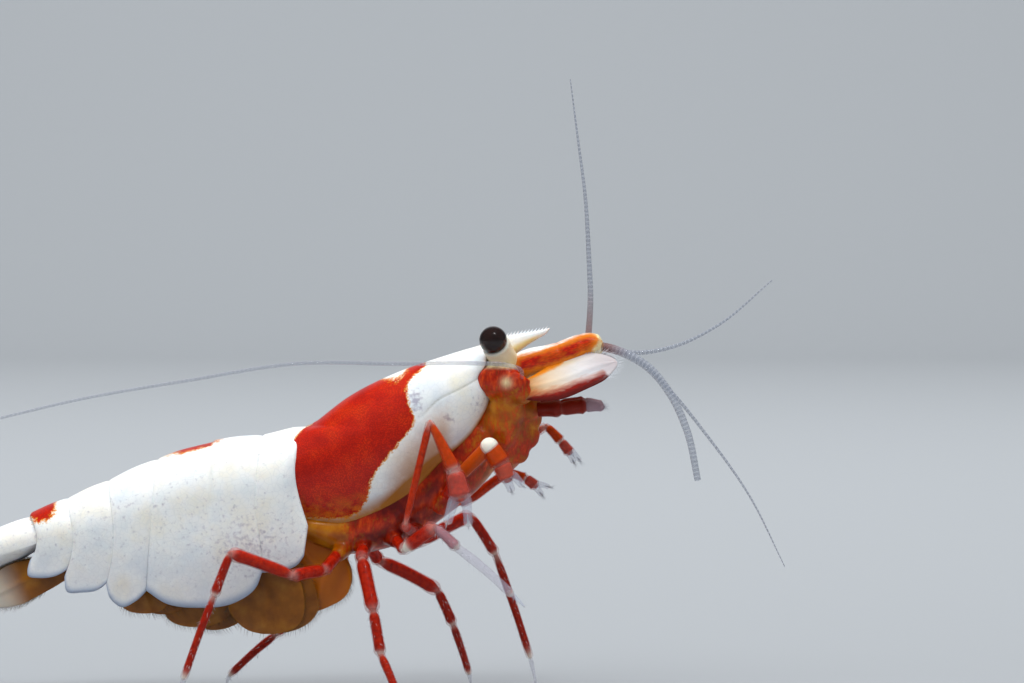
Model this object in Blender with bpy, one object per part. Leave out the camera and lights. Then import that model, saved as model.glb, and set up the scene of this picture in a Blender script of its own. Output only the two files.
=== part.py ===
"""A still, life-size model of a red and white bee shrimp, about 30 mm long, standing on a level floor.

The head points along +X and the right side along -Y.  Every length below is in millimetres and is
turned into metres when a mesh is made.  The floor is z = 0, under the flats of the walking feet.
The body is shaped by a few side-view lines (the back, the lower rim of the carapace, the rims of the
abdomen's side plates) and by half-widths; limbs and feelers are rings carried along joint positions.
"""

import math

import bpy
import bmesh
import numpy as np

MM = 0.001

# Driving dimensions
GAP = 0.12              # clear space between neighbouring plates
THIN = 0.50             # thickness of side plates, blades and fins
FEELER_RADIUS = 0.29    # of the hexagonal feelers, 0.5 mm across their flats
FEELER_TIP = 0.27       # a feeler's radius at its tip
LIMB_SIDES = 6
KNEE_GAP = 0.06         # from a joint's own ring to the rings before and after it, beyond the turn's room
KNEE_SWELL = 1.08       # how much thicker a limb is beside a joint
SHARPEST_TURN = 2.6     # radians, the most turn that the rings beside a joint make room for
SHARP_ANGLE = math.radians(50)
EYE_RADIUS = 0.566
EYE_GAP = 0.04          # clear space between an eye and its stalk
EYE_CENTRE = (7.49, 1.36, 14.08)
FOOT_RADIUS = 0.24
# A leaf's section, as shares of its half-width and of its thickness: sharp edges and a flat middle.
BLADE_OUTLINE = [(-1, 0), (-0.7, 0.5), (0.7, 0.5), (1, 0), (0.7, -0.5), (-0.7, -0.5)]

# The carapace: its back line and lower rim, from the rear to the eyes, and its half-width.
CARAPACE_BACK = [(0.47, 10.73), (1.95, 11.86), (3.90, 12.82), (5.85, 13.48), (7.55, 13.98)]
CARAPACE_RIM = [(0.31, 6.94), (1.76, 6.90), (3.00, 7.32), (4.30, 8.06), (5.55, 9.35),
                (6.63, 10.34), (7.38, 11.55)]
CARAPACE_HALF_WIDTH = [(0.0, 1.84), (0.35, 1.98), (0.70, 1.72), (1.0, 1.12)]
CARAPACE_WRAP = math.radians(150)    # how far a section turns from the back to the rim
REAR_BULGE = 0.86                    # how far the rear edge bows backwards at most

# The abdomen: its back line, the x of the edges between its six segments, and each segment's sizes.
ABDOMEN_BACK = [(0.60, 10.62), (-1.20, 10.30), (-2.70, 10.12), (-4.60, 9.66), (-6.30, 8.98),
                (-8.00, 8.22), (-9.70, 7.50), (-11.70, 6.75), (-14.10, 5.72)]
SEGMENT_EDGES = [0.36, -1.45, -5.45, -7.35, -8.95, -10.40, -14.00]
SEGMENT_HALF_WIDTH = [1.98, 2.16, 2.06, 1.80, 1.50, 1.22, 0.90]
DOME_DEPTH = [2.00, 2.10, 2.00, 1.70, 1.35, 0.95, 0.70]
MOST_DOME = 0.8         # the most of a section's depth that its round back takes up
BELLY_LINE = [(0.40, 7.00), (-2.00, 6.70), (-5.00, 6.35), (-8.00, 5.95), (-10.20, 5.70)]
# Lower rims of the side plates of segments 1 to 5, front to rear, and of the underside of segment 6.
SIDE_PLATES = [
    [(0.20, 5.72), (-0.10, 5.40), (-0.45, 5.24), (-0.90, 5.16), (-1.40, 5.10)],
    [(-1.55, 5.30), (-1.80, 4.50), (-2.55, 3.98), (-3.90, 3.78), (-5.10, 3.95), (-5.80, 4.45)],
    [(-5.95, 4.42), (-6.30, 4.00), (-6.80, 3.78), (-7.16, 4.08), (-7.28, 4.60)],
    [(-7.42, 4.72), (-7.78, 4.42), (-8.32, 4.32), (-8.80, 4.36), (-8.86, 4.92)],
    [(-9.00, 5.18), (-9.45, 4.94), (-10.00, 4.86), (-10.36, 4.94), (-10.22, 5.58)],
    [(-10.30, 5.76), (-11.70, 5.08), (-13.80, 4.38)],
]

RED = (0.62, 0.03, 0.01)
WHITE = (0.86, 0.88, 0.86)
AMBER = (0.55, 0.26, 0.06)
CLEAR_GREY = (0.42, 0.45, 0.55)
EYE_BROWN = (0.035, 0.015, 0.012)


def through(points, shares):
    """Points of a smooth curve that passes through the given ones, at shares 0 to 1 of its length."""
    p = np.array(points, float)
    s = np.concatenate([[0], np.cumsum(np.linalg.norm(np.diff(p, axis=0), axis=1))])
    s /= s[-1]
    slope = np.gradient(p, s, axis=0)
    t = np.atleast_1d(shares)
    i = np.clip(np.searchsorted(s, t, side="right") - 1, 0, len(s) - 2)
    h = (s[i + 1] - s[i])[:, None]
    f = (t - s[i])[:, None] / h
    return (p[i] * (1 + 2 * f) * (1 - f) ** 2 + slope[i] * h * f * (1 - f) ** 2
            + p[i + 1] * f ** 2 * (3 - 2 * f) + slope[i + 1] * h * f ** 2 * (f - 1))


def height_at(line, x):
    """The second number of a line of pairs at each x, by a smooth curve whose first number runs one way."""
    dense = through(line, np.linspace(0, 1, 200))
    order = np.argsort(dense[:, 0])
    return np.interp(x, dense[order, 0], dense[order, 1])


def material(name, colour, roughness=0.35):
    found = bpy.data.materials.get(name)
    if found:
        return found
    made = bpy.data.materials.new(name)
    made.use_nodes = True
    shader = made.node_tree.nodes["Principled BSDF"]
    shader.inputs["Base Color"].default_value = (*colour, 1)
    shader.inputs["Roughness"].default_value = roughness
    shader.inputs["Metallic"].default_value = 0.0
    return made


def solid(name, points, faces, finish):
    """A closed mesh object from points in millimetres, under the animal's empty."""
    mesh = bpy.data.meshes.new(name)
    mesh.from_pydata((np.asarray(points, float).reshape(-1, 3) * MM).tolist(), [], faces)
    builder = bmesh.new()
    builder.from_mesh(mesh)
    bmesh.ops.recalc_face_normals(builder, faces=builder.faces)
    builder.to_mesh(mesh)
    builder.free()
    mesh.shade_smooth()
    mesh.set_sharp_from_angle(angle=SHARP_ANGLE)
    mesh.materials.append(finish)
    made = bpy.data.objects.new(name, mesh)
    bpy.context.collection.objects.link(made)
    made.parent = bpy.data.objects["shrimp"]
    return made


def loft(name, rings, finish, caps=None):
    """A solid skinned over rings of equal count.  caps lists the faces of one end, as indices in a ring."""
    rings = np.asarray(rings, float)
    count, size = rings.shape[:2]
    faces = [
        [a * size + k, a * size + (k + 1) % size, (a + 1) * size + (k + 1) % size, (a + 1) * size + k]
        for a in range(count - 1)
        for k in range(size)
    ]
    caps = caps or [list(range(size))]
    faces += [face[::-1] for face in caps]
    faces += [[(count - 1) * size + k for k in face] for face in caps]
    return solid(name, rings, faces, finish)


def mirrored(points):
    return np.asarray(points, float) * (1, -1, 1)


def ladder_ring(left):
    """A ring from the left half of a section, listed from the midline's top down to its lower rim."""
    return np.concatenate([left, mirrored(left[:0:-1])])


def ladder_caps(half):
    """End faces that run straight across a ladder_ring, from each left point to its right twin."""
    twin = [0] + [2 * half - 1 - k for k in range(1, half)]
    return [[0, 1, twin[1]]] + [[k, k + 1, twin[k + 1], twin[k]] for k in range(1, half - 1)]


def arch_ring(left, belly):
    """A ring like an upside-down U: solid down to point number belly, and a thin side plate below it."""
    inner = left[belly + 1:] - (0, THIN, 0)
    return np.concatenate([left, inner[::-1], mirrored(inner), mirrored(left[:0:-1])])


def arch_caps(half, belly):
    """End faces of an arch_ring: straight across the solid part, then two thin plates."""
    plate = half - 1 - belly
    outer_right = [0] + [half + 2 * plate + half - 1 - k for k in range(1, half)]
    inner_left = {k: half + half - 1 - k for k in range(belly + 1, half)}
    inner_right = {k: half + plate + k - belly - 1 for k in range(belly + 1, half)}
    faces = [[0, 1, outer_right[1]]]
    faces += [[k, k + 1, outer_right[k + 1], outer_right[k]] for k in range(1, belly)]
    low = belly + 1
    faces += [[belly, low, inner_left[low], inner_right[low], outer_right[low], outer_right[belly]]]
    for k in range(low, half - 1):
        faces += [[k, k + 1, inner_left[k + 1], inner_left[k]]]
        faces += [[outer_right[k], inner_right[k], inner_right[k + 1], outer_right[k + 1]]]
    return faces


def rear_bow(z):
    """How far the carapace's rear edge bows backwards at a height, most at a third of the way down."""
    top, low = CARAPACE_BACK[0][1], CARAPACE_RIM[0][1]
    depth = np.clip((top - z) / (top - low), 0, 1)
    return REAR_BULGE * np.sin(np.pi * depth ** 0.64)


def carapace():
    """The shield over head and thorax: round sections between the back line and the lower rim."""
    stations, half = 14, 10
    turn = np.linspace(0, CARAPACE_WRAP, half)
    depth = (1 - np.cos(turn)) / (1 - math.cos(CARAPACE_WRAP))
    rings = []
    for share in np.linspace(0, 1, stations):
        back = through(CARAPACE_BACK, share)[0]
        rim = through(CARAPACE_RIM, share)[0]
        side = back + (rim - back) * depth[:, None]
        width = height_at(CARAPACE_HALF_WIDTH, share) * np.sin(turn)
        bow = rear_bow(side[:, 1]) * (1 - share) ** 4 if share < 1 else 0
        rings.append(ladder_ring(np.column_stack([side[:, 0] - bow, width, side[:, 1]])))
    return loft("carapace", rings, material("red_shell", RED), ladder_caps(half))


def segment_sizes(x):
    """Half-width and dome depth of the abdomen at x, smooth from one segment to the next."""
    edges = SEGMENT_EDGES[::-1]
    return (np.interp(x, edges, SEGMENT_HALF_WIDTH[::-1]), np.interp(x, edges, DOME_DEPTH[::-1]))


def segment_side(number, share, levels, belly):
    """The left half of a section of segment 1 to 6: a dome, then a side plate down to its rim."""
    front = SEGMENT_EDGES[number - 1] - GAP / 2
    rear = SEGMENT_EDGES[number] + GAP / 2
    x = front + (rear - front) * share
    back = np.array([x, height_at(ABDOMEN_BACK, x)])
    rim = through(SIDE_PLATES[number - 1], share)[0]
    width, dome = segment_sizes(x)
    depth = back[1] - rim[1]
    dome = min(dome, depth * MOST_DOME)
    floor = back[1] - float(height_at(BELLY_LINE, x)) if number < 6 else depth
    round_part = np.linspace(0, math.pi / 2, belly - 1)
    straight = dome + (floor - dome) * np.array([1 / 3, 2 / 3])
    plate = np.linspace(floor, depth, levels - belly - 1)
    drops = np.concatenate([dome * (1 - np.cos(round_part)), straight, plate])
    widths = np.concatenate([width * np.sin(round_part), np.full(levels - belly + 1, width)])
    points = back + (rim - back) * (drops / depth)[:, None]
    bow = rear_bow(points[:, 1]) * (1 - share) ** 2 if number == 1 else 0
    return np.column_stack([points[:, 0] - bow, widths, points[:, 1]])


def abdomen():
    """Six shell segments.  The first five have thin side plates; the sixth is solid."""
    levels, belly = 11, 7
    for number in range(1, 7):
        shares = np.linspace(0, 1, 7 if number == 2 else 5)
        halves = [segment_side(number, share, levels, belly) for share in shares]
        finish = material("white_shell", WHITE)
        if number < 6:
            rings = [arch_ring(half, belly) for half in halves]
            loft(f"abdomen_{number}", rings, finish, arch_caps(levels, belly))
        else:
            # The underside of segment 6 is rounded in, so its lowest points are drawn together.
            for half in halves:
                half[-3:, 1] *= (0.95, 0.75, 0.45)
            rings = [ladder_ring(half) for half in halves]
            loft("abdomen_6", rings, finish, ladder_caps(levels))


def frames_along(points, normals=None):
    """Unit directions and two cross axes at each point of a path, turned as little as possible."""
    p = np.asarray(points, float)
    ahead = np.gradient(p, axis=0) if normals is None else np.asarray(normals, float)
    ahead = ahead / np.linalg.norm(ahead, axis=1)[:, None]
    side = np.cross(ahead[0], (0.0, 0.0, 1.0))
    if np.linalg.norm(side) < 0.1:
        side = np.array([0.0, 1.0, 0.0])
    sides = []
    for direction in ahead:
        side = side - direction * (side @ direction)
        side = side / np.linalg.norm(side)
        sides.append(side)
    sides = np.array(sides)
    return ahead, sides, np.cross(sides, ahead)


def tube_rings(points, radii, normals=None, count=LIMB_SIDES, flatten=1.0):
    """Round rings of the given radii along a path; flatten narrows them across the second axis."""
    _, side, up = frames_along(points, normals)
    angle = np.arange(count) * 2 * math.pi / count
    ring = np.cos(angle)[:, None, None] * side + np.sin(angle)[:, None, None] * up * flatten
    return np.asarray(points)[:, None, :] + np.transpose(ring, (1, 0, 2)) * np.asarray(radii)[:, None, None]


def limb_path(joints, radii, standing):
    """Ring centres, radii and directions of a jointed limb: two rings near each joint and one on it."""
    joints = np.asarray(joints, float)
    ways = np.diff(joints, axis=0)
    lengths = np.linalg.norm(ways, axis=1)
    ways = ways / lengths[:, None]
    centres, sizes, normals = [joints[0]], [radii[0]], [ways[0]]
    for k in range(1, len(joints) - 1):
        turn = math.acos(np.clip(ways[k - 1] @ ways[k], -1, 1))
        back = radii[k] * math.tan(min(turn, SHARPEST_TURN) / 2) + KNEE_GAP
        # The rings beside a joint stay within its own half of each segment.
        before, after = min(back, 0.45 * lengths[k - 1]), min(back, 0.45 * lengths[k])
        middle = ways[k - 1] + ways[k]
        centres += [joints[k] - ways[k - 1] * before, joints[k], joints[k] + ways[k] * after]
        sizes += [radii[k] * KNEE_SWELL, radii[k], radii[k] * KNEE_SWELL]
        normals += [ways[k - 1], middle / np.linalg.norm(middle), ways[k]]
    centres.append(joints[-1])
    sizes.append(FOOT_RADIUS if standing else radii[-1])
    normals.append(np.array([0.0, 0.0, -1.0]) if standing else ways[-1])
    return np.array(centres), np.array(sizes), np.array(normals)


def limb(name, joints, radii, side, finish, standing=False):
    """A jointed limb as one solid.  side is +1 on the left and -1 on the right; a foot ends level."""
    joints = np.asarray(joints, float) * (1, side, 1)
    centres, sizes, normals = limb_path(joints, radii, standing)
    return loft(name, tube_rings(centres, sizes, normals), finish)


def feeler(name, points, count, finish):
    """A whip-like feeler through a few points, a little thinner at its tip."""
    path = through(points, np.linspace(0, 1, count))
    radii = np.linspace(FEELER_RADIUS, FEELER_TIP, count)
    return loft(name, tube_rings(path, radii), finish)


def blade(name, spine, half_widths, across, finish):
    """A leaf-shaped plate along a spine; across is the direction of its width."""
    shares = np.linspace(0, 1, 7)
    path = through(spine, shares)
    width = np.interp(shares, np.linspace(0, 1, len(half_widths)), half_widths)
    ahead = np.gradient(path, axis=0)
    ahead /= np.linalg.norm(ahead, axis=1)[:, None]
    wide = np.asarray(across, float) - ahead * (ahead @ np.asarray(across, float))[:, None]
    wide /= np.linalg.norm(wide, axis=1)[:, None]
    flat = np.cross(ahead, wide)
    rings = [
        [path[k] + wide[k] * width[k] * a + flat[k] * THIN * b for a, b in BLADE_OUTLINE]
        for k in range(len(path))
    ]
    return loft(name, rings, finish)


def joined(base, *others):
    """Joins helper meshes to a limb with Boolean unions, and hides the helpers."""
    for other in others:
        other.hide_render = True
        other.display_type = "WIRE"
        union = base.modifiers.new("join_" + other.name, "BOOLEAN")
        union.operation = "UNION"
        union.solver = "EXACT"
        union.object = other
    return base


def eyes_and_stalks(side, word):
    """A ball eye on a short tapered stalk that rises outwards from beside the rostrum."""
    x, y, z = EYE_CENTRE
    bpy.ops.mesh.primitive_uv_sphere_add(segments=14, ring_count=10, radius=EYE_RADIUS * MM)
    ball = bpy.context.object
    ball.name = "eye_" + word
    ball.data.materials.append(material("eye_brown", EYE_BROWN, 0.1))
    ball.data.shade_smooth()
    ball.parent = bpy.data.objects["shrimp"]
    ball.location = (x * MM, side * y * MM, z * MM)
    centre = np.array(EYE_CENTRE)
    root = np.array([8.16, 0.86, 13.36])
    way = (centre - root) / np.linalg.norm(centre - root)
    end = centre - way * (EYE_RADIUS + EYE_GAP)
    path = np.array([root, (root + end) / 2, end]) * (1, side, 1)
    loft("eyestalk_" + word, tube_rings(path, [0.40, 0.44, 0.38], count=8), material("cream", WHITE))


def rostrum():
    """The beak between the eyes: a deep blade, toothed above by a few low steps, ending in a point."""
    top = [(7.72, 14.04), (8.10, 14.24), (8.90, 14.42), (9.68, 14.53)]
    low = [(7.72, 13.52), (8.40, 13.70), (9.05, 14.02), (9.68, 14.44)]
    rings = []
    for share, y in zip(np.linspace(0, 1, 8), np.linspace(0.36, 0.10, 8)):
        a, b = through(top, share)[0], through(low, share)[0]
        middle = (a + b) / 2
        edge_pair = [(middle[0], y, middle[1]), (middle[0], -y, middle[1])]
        rings.append([(a[0], 0, a[1]), edge_pair[0], (b[0], 0, b[1]), edge_pair[1]])
    return loft("rostrum", rings, material("white_shell", WHITE))


def thorax():
    """The floor of the thorax, which carries the legs, just below the carapace's lower rim."""
    low_line = [(0.75, 6.05), (1.80, 5.70), (3.30, 5.85), (4.90, 6.70), (6.30, 8.00), (7.10, 9.20)]
    rear, front = 0.75, 6.95
    # One side of a section, as shares of its half-width and of its height, from the top down.
    outline = [(0.96, 1.0), (1.0, 0.62), (0.84, 0.26), (0.50, 0.0)]
    rings = []
    for share in np.linspace(0, 1, 9):
        x = rear + (front - rear) * share
        top = height_at(CARAPACE_RIM, x) - GAP
        low = min(height_at(low_line, x), top - 0.3)
        half = np.interp(share, [0, 0.3, 1], [1.00, 1.14, 0.90])
        left = [(x, half * wide, low + (top - low) * high) for wide, high in outline]
        rings.append(np.concatenate([left, mirrored(left[::-1])]))
    return loft("thorax", rings, material("red_flesh", RED))


def mouthparts():
    """The underside of the head: mandibles and folded mouthparts, as one rounded wedge."""
    spine = [(8.36, 0, 12.42), (8.45, 0, 11.60), (8.40, 0, 10.40), (8.10, 0, 9.05)]
    shares = np.linspace(0, 1, 8)
    path = through(spine, shares)
    reach = np.interp(shares, [0, 0.3, 0.7, 1], [0.66, 0.84, 0.98, 0.62])
    half = np.interp(shares, [0, 0.4, 1], [0.84, 1.00, 0.50])
    sides = 12
    angle = np.arange(sides) * 2 * math.pi / sides
    rings = [
        [(p[0] + reach[k] * math.cos(a), half[k] * math.sin(a), p[2]) for a in angle]
        for k, p in enumerate(path)
    ]
    return loft("mouthparts", rings, material("amber_flesh", AMBER))


def head_appendages(side, word):
    """Antennule, antenna and antennal scale of one side."""
    def on_side(points):
        return np.asarray(points, float) * (1, side, 1)

    # The antennule's stem is deeper than it is wide.
    stem = on_side([(8.70, 0.58, 13.02), (9.70, 0.62, 13.28), (10.70, 0.62, 13.58), (11.62, 0.60, 13.80)])
    stem_rings = tube_rings(through(stem, np.linspace(0, 1, 6)), [0.44, 0.49, 0.48, 0.46, 0.42, 0.35],
                            count=8, flatten=1.17)
    loft("antennule_" + word, stem_rings, material("white_shell", WHITE))
    base = on_side([(7.86, 1.34, 12.24), (8.34, 1.46, 12.42), (8.84, 1.54, 12.48)])
    loft("antenna_base_" + word, tube_rings(base, [0.38, 0.44, 0.38], count=8), material("red_flesh", RED))
    spine = on_side([(9.05, 1.50, 12.14), (10.20, 1.52, 12.48), (11.50, 1.44, 12.96), (12.80, 1.30, 13.28)])
    blade("antennal_scale_" + word, spine, [0.34, 0.70, 0.70, 0.46, 0.10], (0, -side * 0.62, 0.78),
          material("white_shell", WHITE))
    limb("maxilliped_" + word, [(9.52, 0.82, 11.16), (10.15, 1.00, 11.38), (11.10, 0.92, 11.52),
                                (11.95, 0.85, 11.44)], [0.30, 0.34, 0.33, 0.26], side,
         material("red_flesh", RED))


def feelers():
    """Two flagella on each antennule and one long whip on each antenna, each swept its own way."""
    clear = material("clear_feeler", CLEAR_GREY)
    feeler("antennule_outer_right",
           [(12.05, -0.86, 13.74), (12.75, -1.02, 13.50), (13.50, -1.22, 13.05), (14.35, -1.45, 12.05),
            (15.02, -1.65, 10.60), (15.44, -1.80, 8.66)], 12, clear)
    feeler("antennule_inner_right",
           [(12.10, -0.30, 13.80), (13.10, -0.26, 13.30), (14.40, -0.22, 12.10), (15.80, -0.20, 10.40),
            (17.50, -0.25, 8.00), (18.90, -0.40, 5.20)], 14, clear)
    feeler("antennule_outer_left",
           [(11.42, 0.78, 14.36), (11.46, 0.82, 15.60), (11.36, 0.95, 17.20), (11.14, 1.20, 19.60),
            (10.84, 1.55, 22.00), (10.56, 1.90, 24.25)], 14, clear)
    feeler("antennule_inner_left",
           [(12.05, 0.42, 13.84), (13.20, 0.50, 13.52), (14.60, 0.70, 13.76), (16.30, 1.00, 14.55),
            (18.50, 1.40, 16.35)], 10, clear)
    feeler("antenna_right",
           [(8.95, -2.04, 13.06), (8.30, -2.26, 13.18), (7.20, -2.42, 13.22), (4.00, -2.80, 13.22),
            (0.20, -3.40, 13.26), (-4.00, -4.30, 12.65), (-8.00, -5.20, 11.98), (-11.80, -6.05, 11.10),
            (-17.00, -7.20, 9.90), (-21.40, -8.10, 8.60)], 26, clear)
    feeler("antenna_left",
           [(8.95, 2.04, 13.00), (8.20, 2.36, 12.96), (6.80, 2.90, 12.50), (3.50, 3.80, 11.20),
            (-0.50, 4.80, 9.60), (-5.00, 5.80, 8.00), (-10.00, 6.80, 6.60), (-15.00, 7.70, 5.50),
            (-20.00, 8.50, 4.60)], 24, clear)


def legs():
    """Two pairs of clawed feeding legs held up in front and three pairs of walking legs."""
    red = material("red_limb", RED)
    # Walking legs: hip, joints and toe.  Right legs 4 and 5 and left legs 3, 4 and 5 stand on the floor.
    thick, fine = 0.33, 0.27
    walk = [0.30, thick, thick, fine, fine, FOOT_RADIUS]
    limb("leg_3_right", [(3.83, 1.38, 6.24), (4.10, 1.95, 6.02), (5.30, 2.55, 6.94), (6.16, 2.75, 6.16),
                         (8.27, 2.95, 4.37), (8.76, 3.00, 3.90)], walk, -1, red)
    limb("leg_4_right", [(2.48, 1.38, 5.89), (2.46, 1.90, 5.70), (2.94, 2.90, 3.76), (3.24, 3.30, 2.12),
                         (4.05, 4.80, 0.42), (4.16, 5.00, 0.0)], walk, -1, red, standing=True)
    limb("leg_5_right", [(1.46, 1.38, 5.68), (1.05, 2.10, 5.22), (-0.10, 2.86, 5.08), (-2.50, 3.20, 5.98),
                         (-3.12, 3.30, 4.37), (-4.28, 3.60, 1.20), (-4.46, 3.66, 0.0)],
         [0.30, thick, thick, 0.30, fine, fine, FOOT_RADIUS], -1, red, standing=True)
    limb("leg_3_left", [(3.93, 1.38, 6.25), (4.60, 2.20, 5.95), (6.60, 3.10, 6.95), (7.60, 3.25, 5.40),
                        (9.00, 3.60, 1.20), (9.25, 3.66, 0.0)], walk, 1, red, standing=True)
    limb("leg_4_left", [(2.66, 1.38, 5.77), (3.00, 2.00, 5.25), (5.30, 2.95, 3.98), (5.90, 3.30, 2.60),
                        (6.55, 4.20, 0.50), (6.62, 4.30, 0.0)], walk, 1, red, standing=True)
    limb("leg_5_left", [(1.60, 1.38, 5.64), (1.55, 2.30, 4.90), (-0.27, 3.10, 3.10), (-1.10, 3.50, 2.20),
                        (-3.05, 4.05, 0.45), (-3.20, 4.10, 0.0)], walk, 1, red, standing=True)
    # Clawed legs: name, side, joints with the first finger's tip, their radii, and the second finger.
    hand = [0.30, 0.30, 0.26, 0.30, 0.40, 0.25]
    claws = [
        ("leg_2_right", -1, [(4.42, 1.38, 6.68), (4.15, 2.35, 6.95), (5.12, 2.62, 11.00),
                             (6.05, 2.80, 9.10), (6.30, 2.85, 8.10), (5.78, 2.88, 7.02)],
         [0.30, 0.28, 0.26, 0.34, 0.50, 0.25], [(6.36, 2.85, 8.20), (6.62, 2.92, 6.92)]),
        ("leg_1_right", -1, [(5.83, 1.32, 8.21), (6.10, 1.60, 8.70), (7.40, 2.15, 10.00),
                             (7.85, 2.20, 9.35), (8.10, 2.22, 8.75), (8.28, 2.20, 8.18)],
         [0.30, 0.30, 0.36, 0.37, 0.42, 0.25], [(8.02, 2.22, 9.00), (8.74, 2.20, 8.46)]),
        ("leg_2_left", 1, [(5.10, 1.38, 7.28), (6.00, 2.20, 8.40), (9.62, 2.30, 10.55),
                           (10.20, 2.30, 9.95), (10.55, 2.30, 9.50), (10.80, 2.28, 9.08)],
         hand, [(10.40, 2.30, 9.70), (11.15, 2.34, 9.30)]),
        ("leg_1_left", 1, [(6.02, 1.32, 7.71), (6.50, 1.60, 7.60), (8.10, 2.00, 8.75),
                           (8.80, 2.00, 8.50), (9.20, 1.98, 8.20), (9.45, 1.95, 7.80)],
         hand, [(9.10, 1.98, 8.30), (9.75, 2.00, 8.15)]),
    ]
    for name, side, joints, radii, finger in claws:
        arm = limb(name, joints, radii, side, red)
        joined(arm, limb(name + "_finger", finger, [0.27, 0.25], side, red))


def tail_fan():
    """The telson on the midline and two pairs of uropods spread beside and below it."""
    white = material("white_shell", WHITE)
    blade("telson", [(-14.22, 0, 5.20), (-16.20, 0, 4.15), (-18.40, 0, 2.95)], [0.72, 0.70, 0.52, 0.28],
          (0, 1, 0), white)
    for side, word in ((1, "left"), (-1, "right")):
        blade("uropod_inner_" + word, [(-14.30, side * 1.02, 4.64), (-16.40, side * 1.62, 3.56),
                                       (-18.80, side * 2.12, 2.42)], [0.24, 0.62, 0.72, 0.30],
              (0, 1, side * 0.12), white)
        blade("uropod_outer_" + word, [(-14.20, side * 1.26, 4.02), (-16.10, side * 2.50, 2.92),
                                       (-18.30, side * 3.66, 1.88)], [0.24, 0.74, 0.86, 0.36],
              (0.3 * side, 1, side * 0.22), white)


def pleopods():
    """Five pairs of swimmerets: broad amber blades that hang below the belly between the side plates."""
    amber = material("amber_flesh", AMBER)
    # For each pair: x and z down the blade's middle, half-lengths along the body at even steps, how far the
    # blade's end slopes up from rear to front, and its distance from the midline.
    pairs = [
        ([(-0.15, 6.70), (0.05, 6.00), (0.90, 5.00), (0.55, 3.40)], [0.45, 0.55, 1.20, 0.90], 0.45, 0.60),
        ([(-1.95, 6.48), (-1.60, 5.20), (-1.25, 3.90), (-1.42, 2.62)], [0.80, 1.30, 1.50, 1.35], 0.06, 1.22),
        ([(-4.25, 6.20), (-4.10, 5.00), (-3.85, 3.80), (-3.55, 2.86)], [0.80, 1.20, 1.50, 1.30], -0.20, 0.60),
        ([(-6.35, 5.90), (-6.20, 5.00), (-6.00, 4.20), (-5.65, 3.42)], [0.55, 0.85, 1.05, 0.95], -0.30, 1.10),
        ([(-8.75, 5.50), (-9.90, 4.94), (-11.10, 4.46), (-12.60, 3.70)], [0.50, 0.72, 0.85, 0.50], 0.0, 0.55),
    ]
    for number, (spine, reach, slope, offset) in enumerate(pairs, start=1):
        shares = np.linspace(0, 1, 6)
        path = through(spine, shares)
        half = np.interp(shares, np.linspace(0, 1, len(reach)), reach)
        for side, word in ((1, "left"), (-1, "right")):
            rings = [
                [(x + half[k] * a, side * (offset + THIN * b), z + slope * a * shares[k] ** 2)
                 for a, b in BLADE_OUTLINE]
                for k, (x, z) in enumerate(path)
            ]
            loft(f"pleopod_{number}_{word}", rings, amber)


def centre_on_floor():
    """Moves the whole animal so that its box is centred over the origin and stands on z = 0."""
    bpy.context.view_layer.update()
    graph = bpy.context.evaluated_depsgraph_get()
    shown = [o for o in bpy.data.objects if o.type == "MESH" and not o.hide_render]
    corners = np.array([
        o.matrix_world @ vertex.co for o in shown for vertex in o.evaluated_get(graph).data.vertices
    ])
    low, high = corners.min(axis=0), corners.max(axis=0)
    bpy.data.objects["shrimp"].location = (-(low[0] + high[0]) / 2, -(low[1] + high[1]) / 2, -low[2])


def main():
    for old in list(bpy.data.objects):
        bpy.data.objects.remove(old, do_unlink=True)
    bpy.context.collection.objects.link(bpy.data.objects.new("shrimp", None))
    carapace()
    rostrum()
    thorax()
    mouthparts()
    abdomen()
    tail_fan()
    pleopods()
    legs()
    feelers()
    for side, word in ((1, "left"), (-1, "right")):
        eyes_and_stalks(side, word)
        head_appendages(side, word)
    centre_on_floor()


main()
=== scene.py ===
"""A life-size red and white bee shrimp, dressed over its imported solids.

All shapes are worked out in millimetres in the maker's own frame: x towards the head, y to the animal's
left, z up from the floor.  put_in_frame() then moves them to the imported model's frame.  Every shape is a
numpy surface: a grid that is a function of two numbers, or a ring carried along a path.
"""

import math

import bpy
import mathutils
import numpy as np
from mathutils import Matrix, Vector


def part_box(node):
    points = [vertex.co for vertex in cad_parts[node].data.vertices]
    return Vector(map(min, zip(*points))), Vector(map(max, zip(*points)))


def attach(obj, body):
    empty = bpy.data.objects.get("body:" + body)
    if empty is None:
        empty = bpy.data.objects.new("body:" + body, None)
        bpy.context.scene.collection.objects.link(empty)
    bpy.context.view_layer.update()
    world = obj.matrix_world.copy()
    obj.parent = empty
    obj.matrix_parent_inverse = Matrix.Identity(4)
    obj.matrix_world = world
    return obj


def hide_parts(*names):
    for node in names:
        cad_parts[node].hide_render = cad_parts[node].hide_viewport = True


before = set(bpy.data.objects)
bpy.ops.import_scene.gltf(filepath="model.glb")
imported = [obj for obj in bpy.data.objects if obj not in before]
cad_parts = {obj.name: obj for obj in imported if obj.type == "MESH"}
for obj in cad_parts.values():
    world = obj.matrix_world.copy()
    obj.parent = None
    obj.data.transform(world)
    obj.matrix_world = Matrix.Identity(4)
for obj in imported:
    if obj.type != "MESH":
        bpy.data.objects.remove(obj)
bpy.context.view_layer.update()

MM = 0.001
SIDES = ((1, "left"), (-1, "right"))            # each side's sign in y, and its word in the names
EYE_CENTRE = np.array([7.49, 1.36, 14.08])      # of the left eye's solid, in the maker's own frame
EYE_BOX = np.array([list(corner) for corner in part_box("eye_left")])
SHIFT = EYE_BOX.mean(axis=0) - EYE_CENTRE * MM  # metres from the maker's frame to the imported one
RNG = np.random.default_rng(7)

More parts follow.
